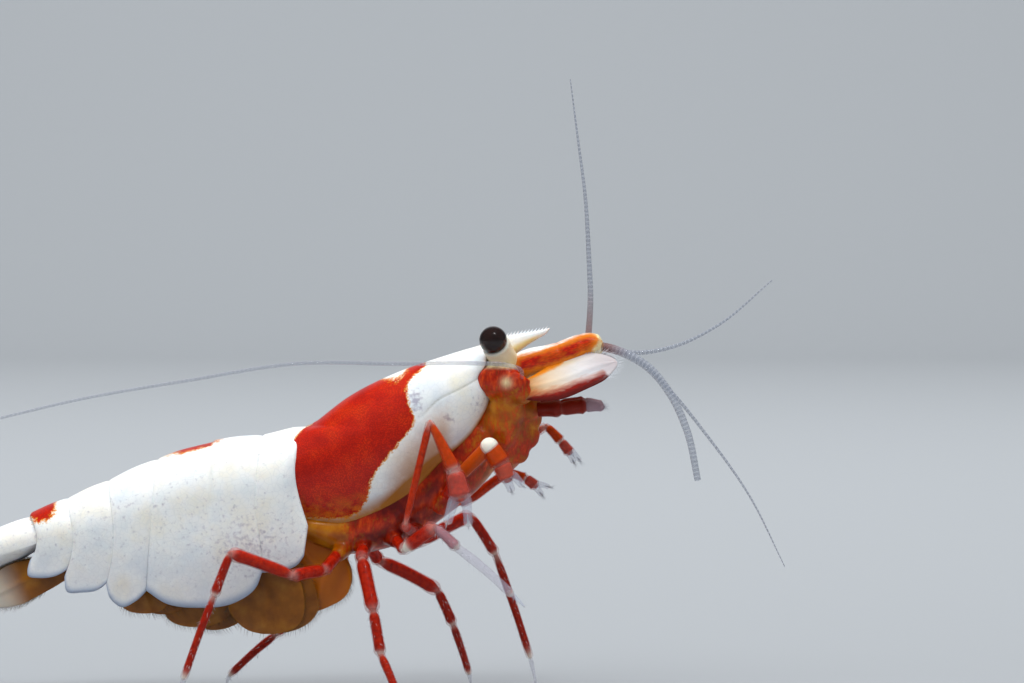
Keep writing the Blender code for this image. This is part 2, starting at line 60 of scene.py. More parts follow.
# ---------------------------------------------------------------- the body's own lines and sizes, in mm
# Lines are side views, as x and z.
CARAPACE_BACK = [(0.47, 10.73), (1.95, 11.86), (3.90, 12.82), (5.85, 13.48), (7.55, 13.98)]
CARAPACE_RIM = [(0.31, 6.94), (1.76, 6.90), (3.00, 7.32), (4.30, 8.06), (5.55, 9.35), (6.63, 10.34),
                (7.38, 11.55)]
CARAPACE_HALF_WIDTH = [(0.0, 1.82), (0.35, 1.96), (0.70, 1.70), (1.0, 1.08)]    # by share of its length
CARAPACE_WRAP = math.radians(150)       # how far round the body it reaches from the midline
REAR_BULGE = 0.86       # how far its rear edge bows backwards
RED_FRONT = [(4.88, 13.07), (4.21, 12.36), (4.25, 11.70), (4.49, 10.96), (4.02, 10.30), (3.43, 9.56),
             (2.85, 8.78), (2.65, 8.00), (2.15, 7.14)]      # where the red saddle gives way to white
GROOVE = [(7.00, 12.62), (6.24, 12.20), (5.46, 11.82), (4.68, 11.05)]

ABDOMEN_BACK = [(0.60, 10.62), (-1.20, 10.30), (-2.70, 10.12), (-4.60, 9.66), (-6.30, 8.98),
                (-8.00, 8.22), (-9.70, 7.50), (-11.70, 6.75), (-14.10, 5.72)]
SEGMENT_EDGES = [0.36, -1.45, -5.45, -7.35, -8.95, -10.40, -14.00]      # x, front edge of the first to tail
SEGMENT_HALF_WIDTH = [1.98, 2.16, 2.06, 1.80, 1.50, 1.22, 0.90]
DOME_DEPTH = [2.00, 2.10, 2.00, 1.70, 1.35, 0.95, 0.70]
EDGE_SWEEP = [0.22, 0.22, 0.00, -0.30, -0.34, -0.34, 0.00]   # how far each edge bows back at mid-height
SIDE_PLATES = [
    [(0.24, 5.76), (-0.05, 5.42), (-0.45, 5.24), (-0.95, 5.16), (-1.55, 5.12)],
    [(-1.42, 5.34), (-1.74, 4.52), (-2.52, 3.98), (-3.90, 3.78), (-5.10, 3.95), (-5.84, 4.45)],
    [(-5.80, 4.45), (-6.25, 4.02), (-6.80, 3.78), (-7.24, 4.10), (-7.40, 4.62)],
    [(-7.34, 4.74), (-7.76, 4.42), (-8.36, 4.32), (-8.94, 4.34), (-9.04, 4.92)],
    [(-8.92, 5.20), (-9.42, 4.94), (-10.02, 4.86), (-10.46, 4.92), (-10.34, 5.62)],
    [(-10.20, 5.78), (-11.70, 5.06), (-13.90, 4.34)],
]
SHELL = 0.07            # thickness of the shell plates
OVERLAP = 0.11          # how far a segment's edge passes its neighbour's
UNDER_CARAPACE = 0.45   # how much further the first segment reaches under the carapace
STEM_SLOPE = math.radians(-16)      # how the head's stems rise, as a turn about y


# ---------------------------------------------------------------- small sums
def unit(vectors):
    """Each vector over its own length."""
    return vectors / np.maximum(np.linalg.norm(vectors, axis=-1, keepdims=True), 1e-12)


def ease(low, high, value):
    """0 below low, 1 above high, and a smooth s-curve in between: 3 t² - 2 t³."""
    t = np.clip((value - low) / (high - low), 0, 1)
    return t * t * (3 - 2 * t)


def bump(value, centre, width):
    """A bell of height 1 round a centre: e to the minus square of the distance over the width."""
    return np.exp(-(((value - centre) / width) ** 2))


def blots(rows, x, z):
    """Soft blots added up: each is a bell in x times a bell in z, by its own strength."""
    return sum(strength * bump(x, x_at, x_wide) * bump(z, z_at, z_wide)
               for x_at, z_at, x_wide, z_wide, strength in rows)


def around(sides):
    """Even angles round a ring, starting at 0."""
    return np.linspace(0, 2 * math.pi, sides, endpoint=False)


def through(points, shares):
    """A smooth curve through points: cubic pieces, each with the slopes its neighbours give at its ends."""
    p = np.array(points, float)
    s = np.concatenate([[0], np.cumsum(np.linalg.norm(np.diff(p, axis=0), axis=1))])
    s /= s[-1]
    slope = np.gradient(p, s, axis=0)
    t = np.atleast_1d(shares)
    i = np.clip(np.searchsorted(s, t, side="right") - 1, 0, len(s) - 2)
    h = (s[i + 1] - s[i])[:, None]
    f = (t - s[i])[:, None] / h
    return (p[i] * (1 + 2 * f) * (1 - f) ** 2 + slope[i] * h * f * (1 - f) ** 2
            + p[i + 1] * f ** 2 * (3 - 2 * f) + slope[i + 1] * h * f ** 2 * (f - 1))


def height_at(line, x):
    """The z of a side-view line at each x, read off 300 steps along it."""
    dense = through(line, np.linspace(0, 1, 300))
    order = np.argsort(dense[:, 0])
    return np.interp(x, dense[order, 0], dense[order, 1])


def distance_to(line, x, z):
    """The least distance from each side-view point to a curve through a few points, in 60 steps."""
    dense = through(line, np.linspace(0, 1, 60))
    gaps = np.hypot(x[..., None] - dense[:, 0], z[..., None] - dense[:, 1])
    return gaps.min(axis=-1)


# ---------------------------------------------------------------- surfaces
class Shape:
    """Points in mm with faces of four and three corners, and named numbers and a UV place for each point."""

    def __init__(self, points, quads, tris=(), values=None, uv=None):
        self.points = np.asarray(points, float).reshape(-1, 3)
        self.quads = np.asarray(quads, int).reshape(-1, 4)
        self.tris = np.asarray(tris, int).reshape(-1, 3)
        self.values = values or {}
        self.uv = None if uv is None else np.asarray(uv, float).reshape(-1, 2)

    def turned_out(self):
        """The same shape with its faces turned so that its volume, summed over them, is positive."""
        p, q = self.points, self.quads
        corners = np.concatenate([q[:, [0, 1, 2]], q[:, [0, 2, 3]], self.tris])
        a, b, c = p[corners[:, 0]], p[corners[:, 1]], p[corners[:, 2]]
        if np.einsum("ij,ij->", a, np.cross(b, c)) < 0:
            self.quads, self.tris = q[:, ::-1], self.tris[:, ::-1]
        return self


def joined(shapes):
    """Several shapes as one.  A number that one of them lacks is 0 there."""
    keys = sorted({key for shape in shapes for key in shape.values})
    starts = np.cumsum([0] + [len(shape.points) for shape in shapes])
    return Shape(
        np.concatenate([s.points for s in shapes]),
        np.concatenate([s.quads + start for s, start in zip(shapes, starts)]),
        np.concatenate([s.tris + start for s, start in zip(shapes, starts)]),
        {key: np.concatenate([s.values.get(key, np.zeros(len(s.points))) for s in shapes]) for key in keys},
        None if shapes[0].uv is None else np.concatenate([s.uv for s in shapes]),
    )


def grid_quads(rows, columns, wrap=False):
    """Corner numbers of the squares of a grid; wrap joins its last column to its first."""
    i, j = np.meshgrid(np.arange(rows - 1), np.arange(columns if wrap else columns - 1), indexing="ij")
    k = (j + 1) % columns
    return np.stack([i * columns + j, i * columns + k, (i + 1) * columns + k, (i + 1) * columns + j],
                    axis=-1).reshape(-1, 4)


def closed_rings(rings, values=None):
    """A surface over rings of points, closed by a pole at the middle of the first and the last ring."""
    rows, columns = rings.shape[:2]
    poles = np.stack([rings[0].mean(axis=0), rings[-1].mean(axis=0)])
    points = np.concatenate([rings.reshape(-1, 3), poles])
    j = np.arange(columns)
    k = (j + 1) % columns
    first_pole, last_pole = rows * columns, rows * columns + 1
    last_ring = (rows - 1) * columns
    tris = np.concatenate([
        np.stack([np.full(columns, first_pole), k, j], axis=1),
        np.stack([np.full(columns, last_pole), last_ring + j, last_ring + k], axis=1),
    ])
    spread = {}
    for key, v in (values or {}).items():
        v = np.asarray(v, float)
        v = np.broadcast_to(v[:, None] if v.ndim == 1 else v, (rows, columns))
        spread[key] = np.concatenate([v.reshape(-1), [v[0].mean(), v[-1].mean()]])
    return Shape(points, grid_quads(rows, columns, wrap=True), tris, spread).turned_out()


def cross_axes(path):
    """Two axes across a path at each point.  The first lies in the path's own flattest plane."""
    ahead = unit(np.gradient(path, axis=0))
    flat = np.linalg.svd(path - path.mean(axis=0))[2][2]
    flat = flat * np.sign(flat[np.argmax(np.abs(flat))])
    side = unit(np.cross(ahead, flat))
    return side, np.cross(side, ahead)


def tube(path, radii, sides, flatten=1.0, values=None):
    """A ring carried along a path: centre + radius (cos a side + flatten sin a up), closed at both ends."""
    path = np.asarray(path, float)
    side, up = cross_axes(path)
    a = around(sides)[None, :, None]
    radii = np.broadcast_to(np.asarray(radii, float), (len(path),))[:, None, None]
    ring = np.cos(a) * side[:, None] + flatten * np.sin(a) * up[:, None]
    return closed_rings(path[:, None] + radii * ring, values)


def plate(outer, values):
    """A thin closed plate of shell: a surface, the same surface set in along its normals, and a wall round
    the edge.  Its edge is edge_share as thick as the rest, and it thickens over a few rows."""
    edge_share, thickening_rows = 0.3, 2
    rows, columns = outer.shape[:2]
    normal = unit(np.cross(np.gradient(outer, axis=0), np.gradient(outer, axis=1)))
    to_edge = np.minimum.outer(
        np.minimum(np.arange(rows), np.arange(rows)[::-1]),
        np.minimum(np.arange(columns), np.arange(columns)[::-1]),
    )
    depth = SHELL * (edge_share + (1 - edge_share) * np.clip(to_edge / thickening_rows, 0, 1))
    inner = outer - normal * depth[..., None]
    half = rows * columns
    top = grid_quads(rows, columns)
    i, j = np.arange(rows - 1), np.arange(columns - 1)
    low, right = (rows - 1) * columns, columns - 1
    walls = [
        np.stack([j + 1, j, j + half, j + 1 + half], axis=1),
        np.stack([low + j, low + j + 1, low + j + 1 + half, low + j + half], axis=1),
        np.stack([i * columns, (i + 1) * columns, (i + 1) * columns + half, i * columns + half], axis=1),
        np.stack([(i + 1) * columns + right, i * columns + right, i * columns + right + half,
                  (i + 1) * columns + right + half], axis=1),
    ]
    quads = np.concatenate([top, top[:, ::-1] + half] + walls)
    both = {key: np.tile(np.broadcast_to(v, (rows, columns)).reshape(-1), 2) for key, v in values.items()}
    points = np.concatenate([outer.reshape(-1, 3), inner.reshape(-1, 3)])
    return Shape(points, quads, values=both).turned_out()


def ball(centre, radius, rings, sides, squash=(1, 1, 1)):
    """A sphere or ellipsoid: rings at even angles a from pole to pole, each a circle of radius sin a."""
    near_pole = 0.02
    a = np.linspace(near_pole, math.pi - near_pole, rings)[:, None]
    b = around(sides)[None, :]
    grid = np.broadcast_arrays(np.sin(a) * np.cos(b), np.sin(a) * np.sin(b), np.cos(a))
    return closed_rings(np.asarray(centre) + np.stack(grid, axis=-1) * radius * np.asarray(squash))


def hairs(roots, ways, lengths, width, root_uv, droop=(0, 0, 0)):
    """Tapering three-sided hairs.  A hair's middle line is root + way * length * t + droop * length * t².

    Each hair's UV place is a patch 0.003 across round its root's place on the unwrapped skin.
    """
    rings, sides, tip_share, patch_width = 4, 3, 0.12, 0.003
    t = np.linspace(0, 1, rings)
    lengths = lengths[:, None, None]
    line = roots[:, None] + lengths * (ways[:, None] * t[:, None] + np.asarray(droop) * (t ** 2)[:, None])
    helper = np.where(np.abs(ways[:, [2]]) < 0.8, [[0.0, 0.0, 1.0]], [[0.0, 1.0, 0.0]])
    side = unit(np.cross(ways, helper))
    up = np.cross(side, ways)
    a = around(sides)[:, None]
    radius = 0.5 * width * np.maximum(1 - t, tip_share)
    ring = np.cos(a) * side[:, None] + np.sin(a) * up[:, None]
    points = line[:, :, None] + radius[:, None, None] * ring[:, None]
    base = np.arange(len(roots))[:, None, None] * rings * sides
    quads = (grid_quads(rings, sides, wrap=True)[None] + base).reshape(-1, 4)
    end = (rings - 1) * sides
    tris = (np.array([[2, 1, 0], [end, end + 1, end + 2]])[None] + base).reshape(-1, 3)
    patch = np.stack(np.broadcast_arrays(np.cos(a[:, 0]) / 2, t[:, None] - 0.5), axis=-1) * patch_width
    return Shape(points, quads, tris, uv=root_uv[:, None, None] + patch[None])


# ---------------------------------------------------------------- making pieces
def put_in_frame(points):
    """Points in mm of the maker's frame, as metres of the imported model's."""
    return points * MM + SHIFT


def piece(name, shape, finish, slot, *replaced):
    """A mesh object from a shape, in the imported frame, riding on the animal's one body."""
    mesh = bpy.data.meshes.new(name)
    count = len(shape.points)
    faces = len(shape.quads) + len(shape.tris)
    mesh.vertices.add(count)
    mesh.vertices.foreach_set("co", put_in_frame(shape.points).astype(np.float32).ravel())
    corners = np.concatenate([shape.quads.ravel(), shape.tris.ravel()])
    sizes = np.concatenate([np.full(len(shape.quads), 4), np.full(len(shape.tris), 3)])
    mesh.loops.add(len(corners))
    mesh.loops.foreach_set("vertex_index", corners.astype(np.int32))
    mesh.polygons.add(faces)
    mesh.polygons.foreach_set("loop_start", (np.cumsum(sizes) - sizes).astype(np.int32))
    mesh.update(calc_edges=True)
    mesh.validate()
    mesh.polygons.foreach_set("use_smooth", np.ones(faces, bool))
    for key, v in shape.values.items():
        spread = np.ascontiguousarray(np.broadcast_to(np.asarray(v, np.float32), (count,)))
        mesh.attributes.new(key, "FLOAT", "POINT").data.foreach_set("value", spread)
    if shape.uv is not None:
        layer = mesh.uv_layers.new(name="OFBake")
        layer.uv.foreach_set("vector", shape.uv[corners].astype(np.float32).ravel())
    mesh.materials.append(finish)
    made = bpy.data.objects.new(name, mesh)
    bpy.context.scene.collection.objects.link(made)
    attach(made, "root")
    if replaced:
        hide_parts(*replaced)


def linear(hex_colour):
    """An sRGB hex colour as linear red, green, blue and alpha."""
    parts = [int(hex_colour[k:k + 2], 16) / 255 for k in (1, 3, 5)]
    return tuple(c / 12.92 if c <= 0.04045 else ((c + 0.055) / 1.055) ** 2.4 for c in parts) + (1.0,)


def add(tree, kind, settings=None, links=None, out=0):
    """Adds a node, sets its properties or sockets by name or number, links its sockets, returns an output."""
    made = tree.nodes.new(kind)
    for key, value in (settings or {}).items():
        if key == "stops":
            for k, (place, colour) in enumerate(value):
                stop = made.color_ramp.elements[k] if k < 2 else made.color_ramp.elements.new(place)
                stop.position, stop.color = place, colour
        elif isinstance(key, str) and hasattr(made, key):
            setattr(made, key, value)
        else:
            made.inputs[key].default_value = value
    for key, socket in (links or {}).items():
        tree.links.new(socket, made.inputs[key])
    return made.outputs[out]


def new_finish(name):
    """An empty material with its node tree."""
    made = bpy.data.materials.new(name)
    made.use_nodes = True
    return made, made.node_tree


def dressed(made, settings, links=None):
    """A material whose shader has some sockets linked and others set by name."""
    shader = made.node_tree.nodes["Principled BSDF"]
    for key, socket in (links or {}).items():
        made.node_tree.links.new(socket, shader.inputs[key])
    for key, value in settings.items():
        shader.inputs[key].default_value = value
    return made


def every(size):
    """The scale of a texture whose pattern repeats every size mm."""
    return 1 / (size * MM)


# ---------------------------------------------------------------- finishes
def chitin_shell(name, soft=0.0, stretch=1.0, grainy=0.10):
    """Clear chitin cuticle over a white pigment layer with red pigment cells: glossy, enamel-like, granular.

    Its markings are numbers on the mesh: red is the depth in mm inside a red patch, deep how far it is
    darkened as painted shade on the antennal scale's lower band, orange how far it breaks up into orange,
    sheer is how far the white layer thins out, which also paints shade low on the abdomen and carapace and
    over the scale, warm tells tan places from bluish ones, cream is how yellow the white is, and line and
    speckle are dark lines and freckles.  A patch's edge blends over soft mm more and is jagged over grainy
    mm, and stretch draws the pattern out along the head's stems.
    """
    made, tree = new_finish(name)
    place = add(tree, "ShaderNodeTexCoord", out="Object")
    place = add(tree, "ShaderNodeMapping", {"vector_type": "TEXTURE", "Rotation": (0.0, STEM_SLOPE, 0.0),
                                            "Scale": (stretch, 1.0, 1.0)}, {"Vector": place})
    at = {"Vector": place}
    red, deep, orange, sheer, warm, cream, line, speckle = [
        add(tree, "ShaderNodeAttribute", {"attribute_name": key}, out="Fac")
        for key in ("red", "deep", "orange", "sheer", "warm", "cream", "line", "speckle")
    ]
    # Pigment cells are about 0.055 mm across, and the patch's edge wanders over 0.34 mm.
    cell = add(tree, "ShaderNodeTexVoronoi", {"Scale": every(0.055)}, at, out="Color")
    cell_value = add(tree, "ShaderNodeSeparateColor", links={0: cell})
    centre = add(tree, "ShaderNodeTexVoronoi", {"Scale": every(0.055)}, at, out="Distance")
    wander = add(tree, "ShaderNodeTexNoise", {"Scale": every(0.34), "Detail": 4.0, "Roughness": 0.6}, at)
    ragged = add(tree, "ShaderNodeMath", {"operation": "MULTIPLY_ADD", 1: 0.24, 2: -0.12}, {0: wander})
    grain = add(tree, "ShaderNodeMath", {"operation": "MULTIPLY_ADD", 1: grainy, 2: -grainy / 2},
                {0: cell_value})
    depth = add(tree, "ShaderNodeMath", {"operation": "ADD"}, {0: red, 1: ragged})
    depth = add(tree, "ShaderNodeMath", {"operation": "ADD"}, {0: depth, 1: grain})
    is_red = add(tree, "ShaderNodeMapRange", {"From Min": -0.012 - soft, "From Max": 0.030 + soft},
                 {"Value": depth})
    is_amber = add(tree, "ShaderNodeMapRange", {"From Min": -0.085, "From Max": -0.005}, {"Value": depth})
    shallow = add(tree, "ShaderNodeMath", {"operation": "MULTIPLY_ADD", 1: -1.5, 2: 1.0, "use_clamp": True},
                  {0: deep})
    is_amber = add(tree, "ShaderNodeMath", {"operation": "MULTIPLY"}, {0: is_amber, 1: shallow})
    # The white layer: cool and cream clouds 1.4 mm wide, and a faint net of thin places 0.23 mm apart.
    cloud = add(tree, "ShaderNodeTexNoise", {"Scale": every(1.4), "Detail": 3.0}, at)
    white = add(tree, "ShaderNodeValToRGB", {"stops": [
        (0.28, linear("#E0E7EC")), (0.50, linear("#F1F2F0")), (0.74, linear("#F0EADA"))]}, {0: cloud})
    net = add(tree, "ShaderNodeTexVoronoi", {"feature": "DISTANCE_TO_EDGE", "Scale": every(0.23)}, at)
    thin = add(tree, "ShaderNodeMapRange", {"From Min": 0.10, "From Max": 0.0, "To Max": 0.16},
               {"Value": net})
    white = add(tree, "ShaderNodeMix", {"data_type": "RGBA", 7: linear("#B9C0C9")},
                {0: thin, 6: white}, out=2)
    # Freckles 0.16 mm wide where speckle is high.
    fleck_noise = add(tree, "ShaderNodeTexNoise", {"Scale": every(0.16), "Detail": 5.0}, at)
    fleck = add(tree, "ShaderNodeMath", {"operation": "MULTIPLY_ADD", 1: 0.40}, {0: speckle, 2: fleck_noise})
    fleck = add(tree, "ShaderNodeMapRange", {"From Min": 0.66, "From Max": 0.92, "To Max": 0.7},
                {"Value": fleck})
    white = add(tree, "ShaderNodeMix", {"data_type": "RGBA", 7: linear("#9690A6")},
                {0: fleck, 6: white}, out=2)
    white = add(tree, "ShaderNodeMix", {"data_type": "RGBA", 7: linear("#E8CF8C")},
                {0: cream, 6: white}, out=2)
    # Sheer places: bluish where clear shell lies over nothing, tan where flesh is under it.  Where sheer
    # stands for painted shade, this tint is the shade's colour.
    tint = add(tree, "ShaderNodeMix", {"data_type": "RGBA", 6: linear("#A4AFC2"), 7: linear("#B4762E")},
               {0: warm}, out=2)
    patchy = add(tree, "ShaderNodeMath", {"operation": "MULTIPLY_ADD", 1: 0.5, 2: -0.25}, {0: wander})
    patchy = add(tree, "ShaderNodeMath", {"operation": "ADD", "use_clamp": True}, {0: patchy, 1: sheer})
    patchy = add(tree, "ShaderNodeMath", {"operation": "MINIMUM"}, {0: patchy, 1: sheer})
    white = add(tree, "ShaderNodeMix", {"data_type": "RGBA"}, {0: patchy, 6: white, 7: tint}, out=2)
    # Amber where red cells thin out, then the red itself, darker between its cells.
    amber = add(tree, "ShaderNodeMix", {"data_type": "RGBA", 7: linear("#D98A1E")},
                {0: is_amber, 6: white}, out=2)
    tone = add(tree, "ShaderNodeTexNoise", {"Scale": every(0.9), "Detail": 4.0}, at)
    pigment = add(tree, "ShaderNodeValToRGB", {"stops": [
        (0.25, linear("#A81402")), (0.50, linear("#C82002")), (0.80, linear("#DE3A06"))]}, {0: tone})
    between = add(tree, "ShaderNodeMapRange", {"From Min": 0.22, "From Max": 0.62, "To Max": 0.55},
                  {"Value": centre})
    pigment = add(tree, "ShaderNodeMix", {"data_type": "RGBA", 7: linear("#7A0A05")},
                  {0: between, 6: pigment}, out=2)
    streak = add(tree, "ShaderNodeMapRange", {"From Min": 0.40, "From Max": 0.62}, {"Value": wander})
    streak = add(tree, "ShaderNodeMath", {"operation": "MULTIPLY"}, {0: streak, 1: orange})
    pigment = add(tree, "ShaderNodeMix", {"data_type": "RGBA", 7: linear("#E07A0A")},
                  {0: streak, 6: pigment}, out=2)
    # deep darkens the red to near black: painted shade, used on the antennal scale's lower band.
    pigment = add(tree, "ShaderNodeMix", {"data_type": "RGBA", 7: linear("#3E0704")},
                  {0: deep, 6: pigment}, out=2)
    coat = add(tree, "ShaderNodeMix", {"data_type": "RGBA"}, {0: is_red, 6: amber, 7: pigment}, out=2)
    groove = add(tree, "ShaderNodeMath", {"operation": "MULTIPLY", 1: 0.8}, {0: line})
    coat = add(tree, "ShaderNodeMix", {"data_type": "RGBA", 7: linear("#6A6650")},
               {0: groove, 6: coat}, out=2)
    # Fine pits 0.06 mm apart and low waves, under a clear skin.
    pits = add(tree, "ShaderNodeTexNoise", {"Scale": every(0.06), "Detail": 3.0}, at)
    rough = add(tree, "ShaderNodeMapRange", {"To Min": 0.26, "To Max": 0.46}, {"Value": pits})
    relief = add(tree, "ShaderNodeMath", {"operation": "MULTIPLY_ADD", 1: 0.5}, {0: pits, 2: cloud})
    normal = add(tree, "ShaderNodeBump", {"Strength": 0.35, "Distance": 0.02 * MM}, {"Height": relief})
    return dressed(made, {
        "IOR": 1.33,
        "Coat Weight": 0.10,
        "Coat Roughness": 0.14,
        "Subsurface Weight": 0.10,
        "Subsurface Radius": (1.0, 0.5, 0.35),
        "Subsurface Scale": 0.25 * MM,
    }, {"Base Color": coat, "Roughness": rough, "Normal": normal})


def body_flesh():
    """Soft clear cuticle over amber flesh with scattered red pigment cells: moist and see-through looking.

    blush is how thickly the red cells lie, dusk how far broad dark red mottles cover them, and pale how far a
    place goes to cream.
    """
    made, tree = new_finish("soft_cuticle_over_amber_flesh")
    at = {"Vector": add(tree, "ShaderNodeTexCoord", out="Object")}
    blush, dusk, pale = [add(tree, "ShaderNodeAttribute", {"attribute_name": key}, out="Fac")
                         for key in ("blush", "dusk", "pale")]
    cloud = add(tree, "ShaderNodeTexNoise", {"Scale": every(0.8), "Detail": 4.0}, at)
    amber = add(tree, "ShaderNodeValToRGB", {"stops": [
        (0.28, linear("#7C3202")), (0.50, linear("#AC5C04")), (0.75, linear("#D08A12"))]}, {0: cloud})
    # Fibres 0.2 mm wide run up and down, three times as long as they are wide.
    fibres = add(tree, "ShaderNodeMapping", {"Rotation": (0.0, 0.6, 0.0), "Scale": (1.0, 1.0, 0.33)}, at)
    wander = add(tree, "ShaderNodeTexNoise", {"Scale": every(0.20), "Detail": 5.0, "Roughness": 0.65},
                 {"Vector": fibres})
    cells = add(tree, "ShaderNodeTexVoronoi", {"Scale": every(0.11)}, at, out="Distance")
    thick = add(tree, "ShaderNodeMath", {"operation": "MULTIPLY_ADD", 1: 1.3}, {0: wander, 2: blush})
    thick = add(tree, "ShaderNodeMath", {"operation": "MULTIPLY_ADD", 1: -0.22}, {0: cells, 2: thick})
    is_red = add(tree, "ShaderNodeMapRange", {"From Min": 0.72, "From Max": 1.06, "To Max": 0.95},
                 {"Value": thick})
    red = add(tree, "ShaderNodeValToRGB", {"stops": [
        (0.30, linear("#680602")), (0.50, linear("#AC1C04")), (0.74, linear("#DC500A"))]}, {0: wander})
    skin = add(tree, "ShaderNodeMix", {"data_type": "RGBA"}, {0: is_red, 6: amber, 7: red}, out=2)
    mottle = add(tree, "ShaderNodeMapRange", {"From Min": 0.62, "From Max": 0.36, "To Max": 0.92},
                 {"Value": cloud})
    mottle = add(tree, "ShaderNodeMath", {"operation": "MULTIPLY"}, {0: mottle, 1: dusk})
    skin = add(tree, "ShaderNodeMix", {"data_type": "RGBA", 7: linear("#52070A")},
               {0: mottle, 6: skin}, out=2)
    cream = add(tree, "ShaderNodeMath", {"operation": "MULTIPLY", "use_clamp": True}, {0: pale, 1: wander})
    cream = add(tree, "ShaderNodeMath", {"operation": "MULTIPLY", 1: 1.9, "use_clamp": True}, {0: cream})
    skin = add(tree, "ShaderNodeMix", {"data_type": "RGBA", 7: linear("#E6D6A6")},
               {0: cream, 6: skin}, out=2)
    normal = add(tree, "ShaderNodeBump", {"Strength": 0.4, "Distance": 0.03 * MM}, {"Height": wander})
    return dressed(made, {
        "Roughness": 0.3,
        "IOR": 1.33,
        "Coat Weight": 0.15,
        "Coat Roughness": 0.1,
        "Subsurface Weight": 0.3,
        "Subsurface Radius": (1.0, 0.45, 0.2),
        "Subsurface Scale": 0.35 * MM,
    }, {"Base Color": skin, "Normal": normal})


def limb_muscle():
    """Red muscle inside a clear limb: deep red with paler fibres 0.16 mm wide.

    amber turns it orange, brown dark brown, clear a pale lilac and joint cream, each over the one before.
    """
    made, tree = new_finish("red_muscle_in_clear_limb")
    at = {"Vector": add(tree, "ShaderNodeTexCoord", out="Object")}
    mottle = add(tree, "ShaderNodeTexNoise", {"Scale": every(0.16), "Detail": 4.0}, at)
    colour = add(tree, "ShaderNodeValToRGB", {"stops": [
        (0.28, linear("#7C0802")), (0.50, linear("#B81604")), (0.76, linear("#DA3C0C"))]}, {0: mottle})
    others = {"amber": "#D9720F", "brown": "#4A120A", "clear": "#C3B7C4", "joint": "#F0EBDD"}
    for key, other in others.items():
        share = add(tree, "ShaderNodeAttribute", {"attribute_name": key}, out="Fac")
        colour = add(tree, "ShaderNodeMix", {"data_type": "RGBA", 7: linear(other)},
                     {0: share, 6: colour}, out=2)
    return dressed(made, {
        "Roughness": 0.35,
        "IOR": 1.33,
        "Subsurface Weight": 0.25,
        "Subsurface Radius": (1.0, 0.4, 0.3),
        "Subsurface Scale": 0.15 * MM,
    }, {"Base Color": colour})


def clear_cuticle(name, colour, alpha, roughness):
    """Thin clear chitin with a faint tint: you see through it, and it glints."""
    made = new_finish(name)[0]
    return dressed(made, {
        "Base Color": linear(colour),
        "Alpha": alpha,
        "Roughness": roughness,
        "Coat Weight": 0.6,
        "Coat Roughness": 0.05,
    })


def limb_cuticle():
    """Clear glossy chitin round a limb's muscle, see-through: red where clear is low, bluish and colourless
    towards the claw, white at the joints."""
    made, tree = new_finish("clear_limb_chitin")
    clear, joint = [add(tree, "ShaderNodeAttribute", {"attribute_name": key}, out="Fac")
                    for key in ("clear", "joint")]
    tinted = add(tree, "ShaderNodeMix", {"data_type": "RGBA", 6: linear("#C42E10"), 7: linear("#C3CCE0")},
                 {0: clear}, out=2)
    colour = add(tree, "ShaderNodeMix", {"data_type": "RGBA", 7: linear("#F2EFE8")},
                 {0: joint, 6: tinted}, out=2)
    return dressed(made, {
        "Alpha": 0.26,
        "Roughness": 0.18,
        "IOR": 1.33,
        "Coat Weight": 0.15,
        "Coat Roughness": 0.06,
    }, {"Base Color": colour})


def eye_pigment():
    """Dark pigment under a facetted cornea: brown-black, with facets 0.035 mm wide that break the glint."""
    made, tree = new_finish("eye_pigment_under_facets")
    at = {"Vector": add(tree, "ShaderNodeTexCoord", out="Object")}
    cloud = add(tree, "ShaderNodeTexNoise", {"Scale": every(0.5), "Detail": 2.0}, at)
    brown = add(tree, "ShaderNodeValToRGB", {"stops": [
        (0.35, linear("#060304")), (0.66, linear("#180A08"))]}, {0: cloud})
    facets = add(tree, "ShaderNodeTexVoronoi", {"Scale": every(0.035)}, at, out="Distance")
    normal = add(tree, "ShaderNodeBump", {"Strength": 0.25, "Distance": 0.006 * MM, "invert": True},
                 {"Height": facets})
    return dressed(made, {
        "Roughness": 0.25,
        "IOR": 1.35,
        "Coat Weight": 0.35,
        "Coat Roughness": 0.04,
    }, {"Base Color": brown, "Normal": normal})


def feeler_cuticle(name, alpha):
    """Ringed clear chitin of the feelers: bluish grey with pale rings, rusty near the root."""
    made, tree = new_finish(name)
    ring, rust = [add(tree, "ShaderNodeAttribute", {"attribute_name": key}, out="Fac")
                  for key in ("ring", "rust")]
    grey = add(tree, "ShaderNodeMix", {"data_type": "RGBA", 6: linear("#9299A8"), 7: linear("#BFC4CE")},
               {0: ring}, out=2)
    colour = add(tree, "ShaderNodeMix", {"data_type": "RGBA", 7: linear("#7E2C14")},
                 {0: rust, 6: grey}, out=2)
    return dressed(made, {"Roughness": 0.3, "Coat Weight": 0.4, "Alpha": alpha}, {"Base Color": colour})


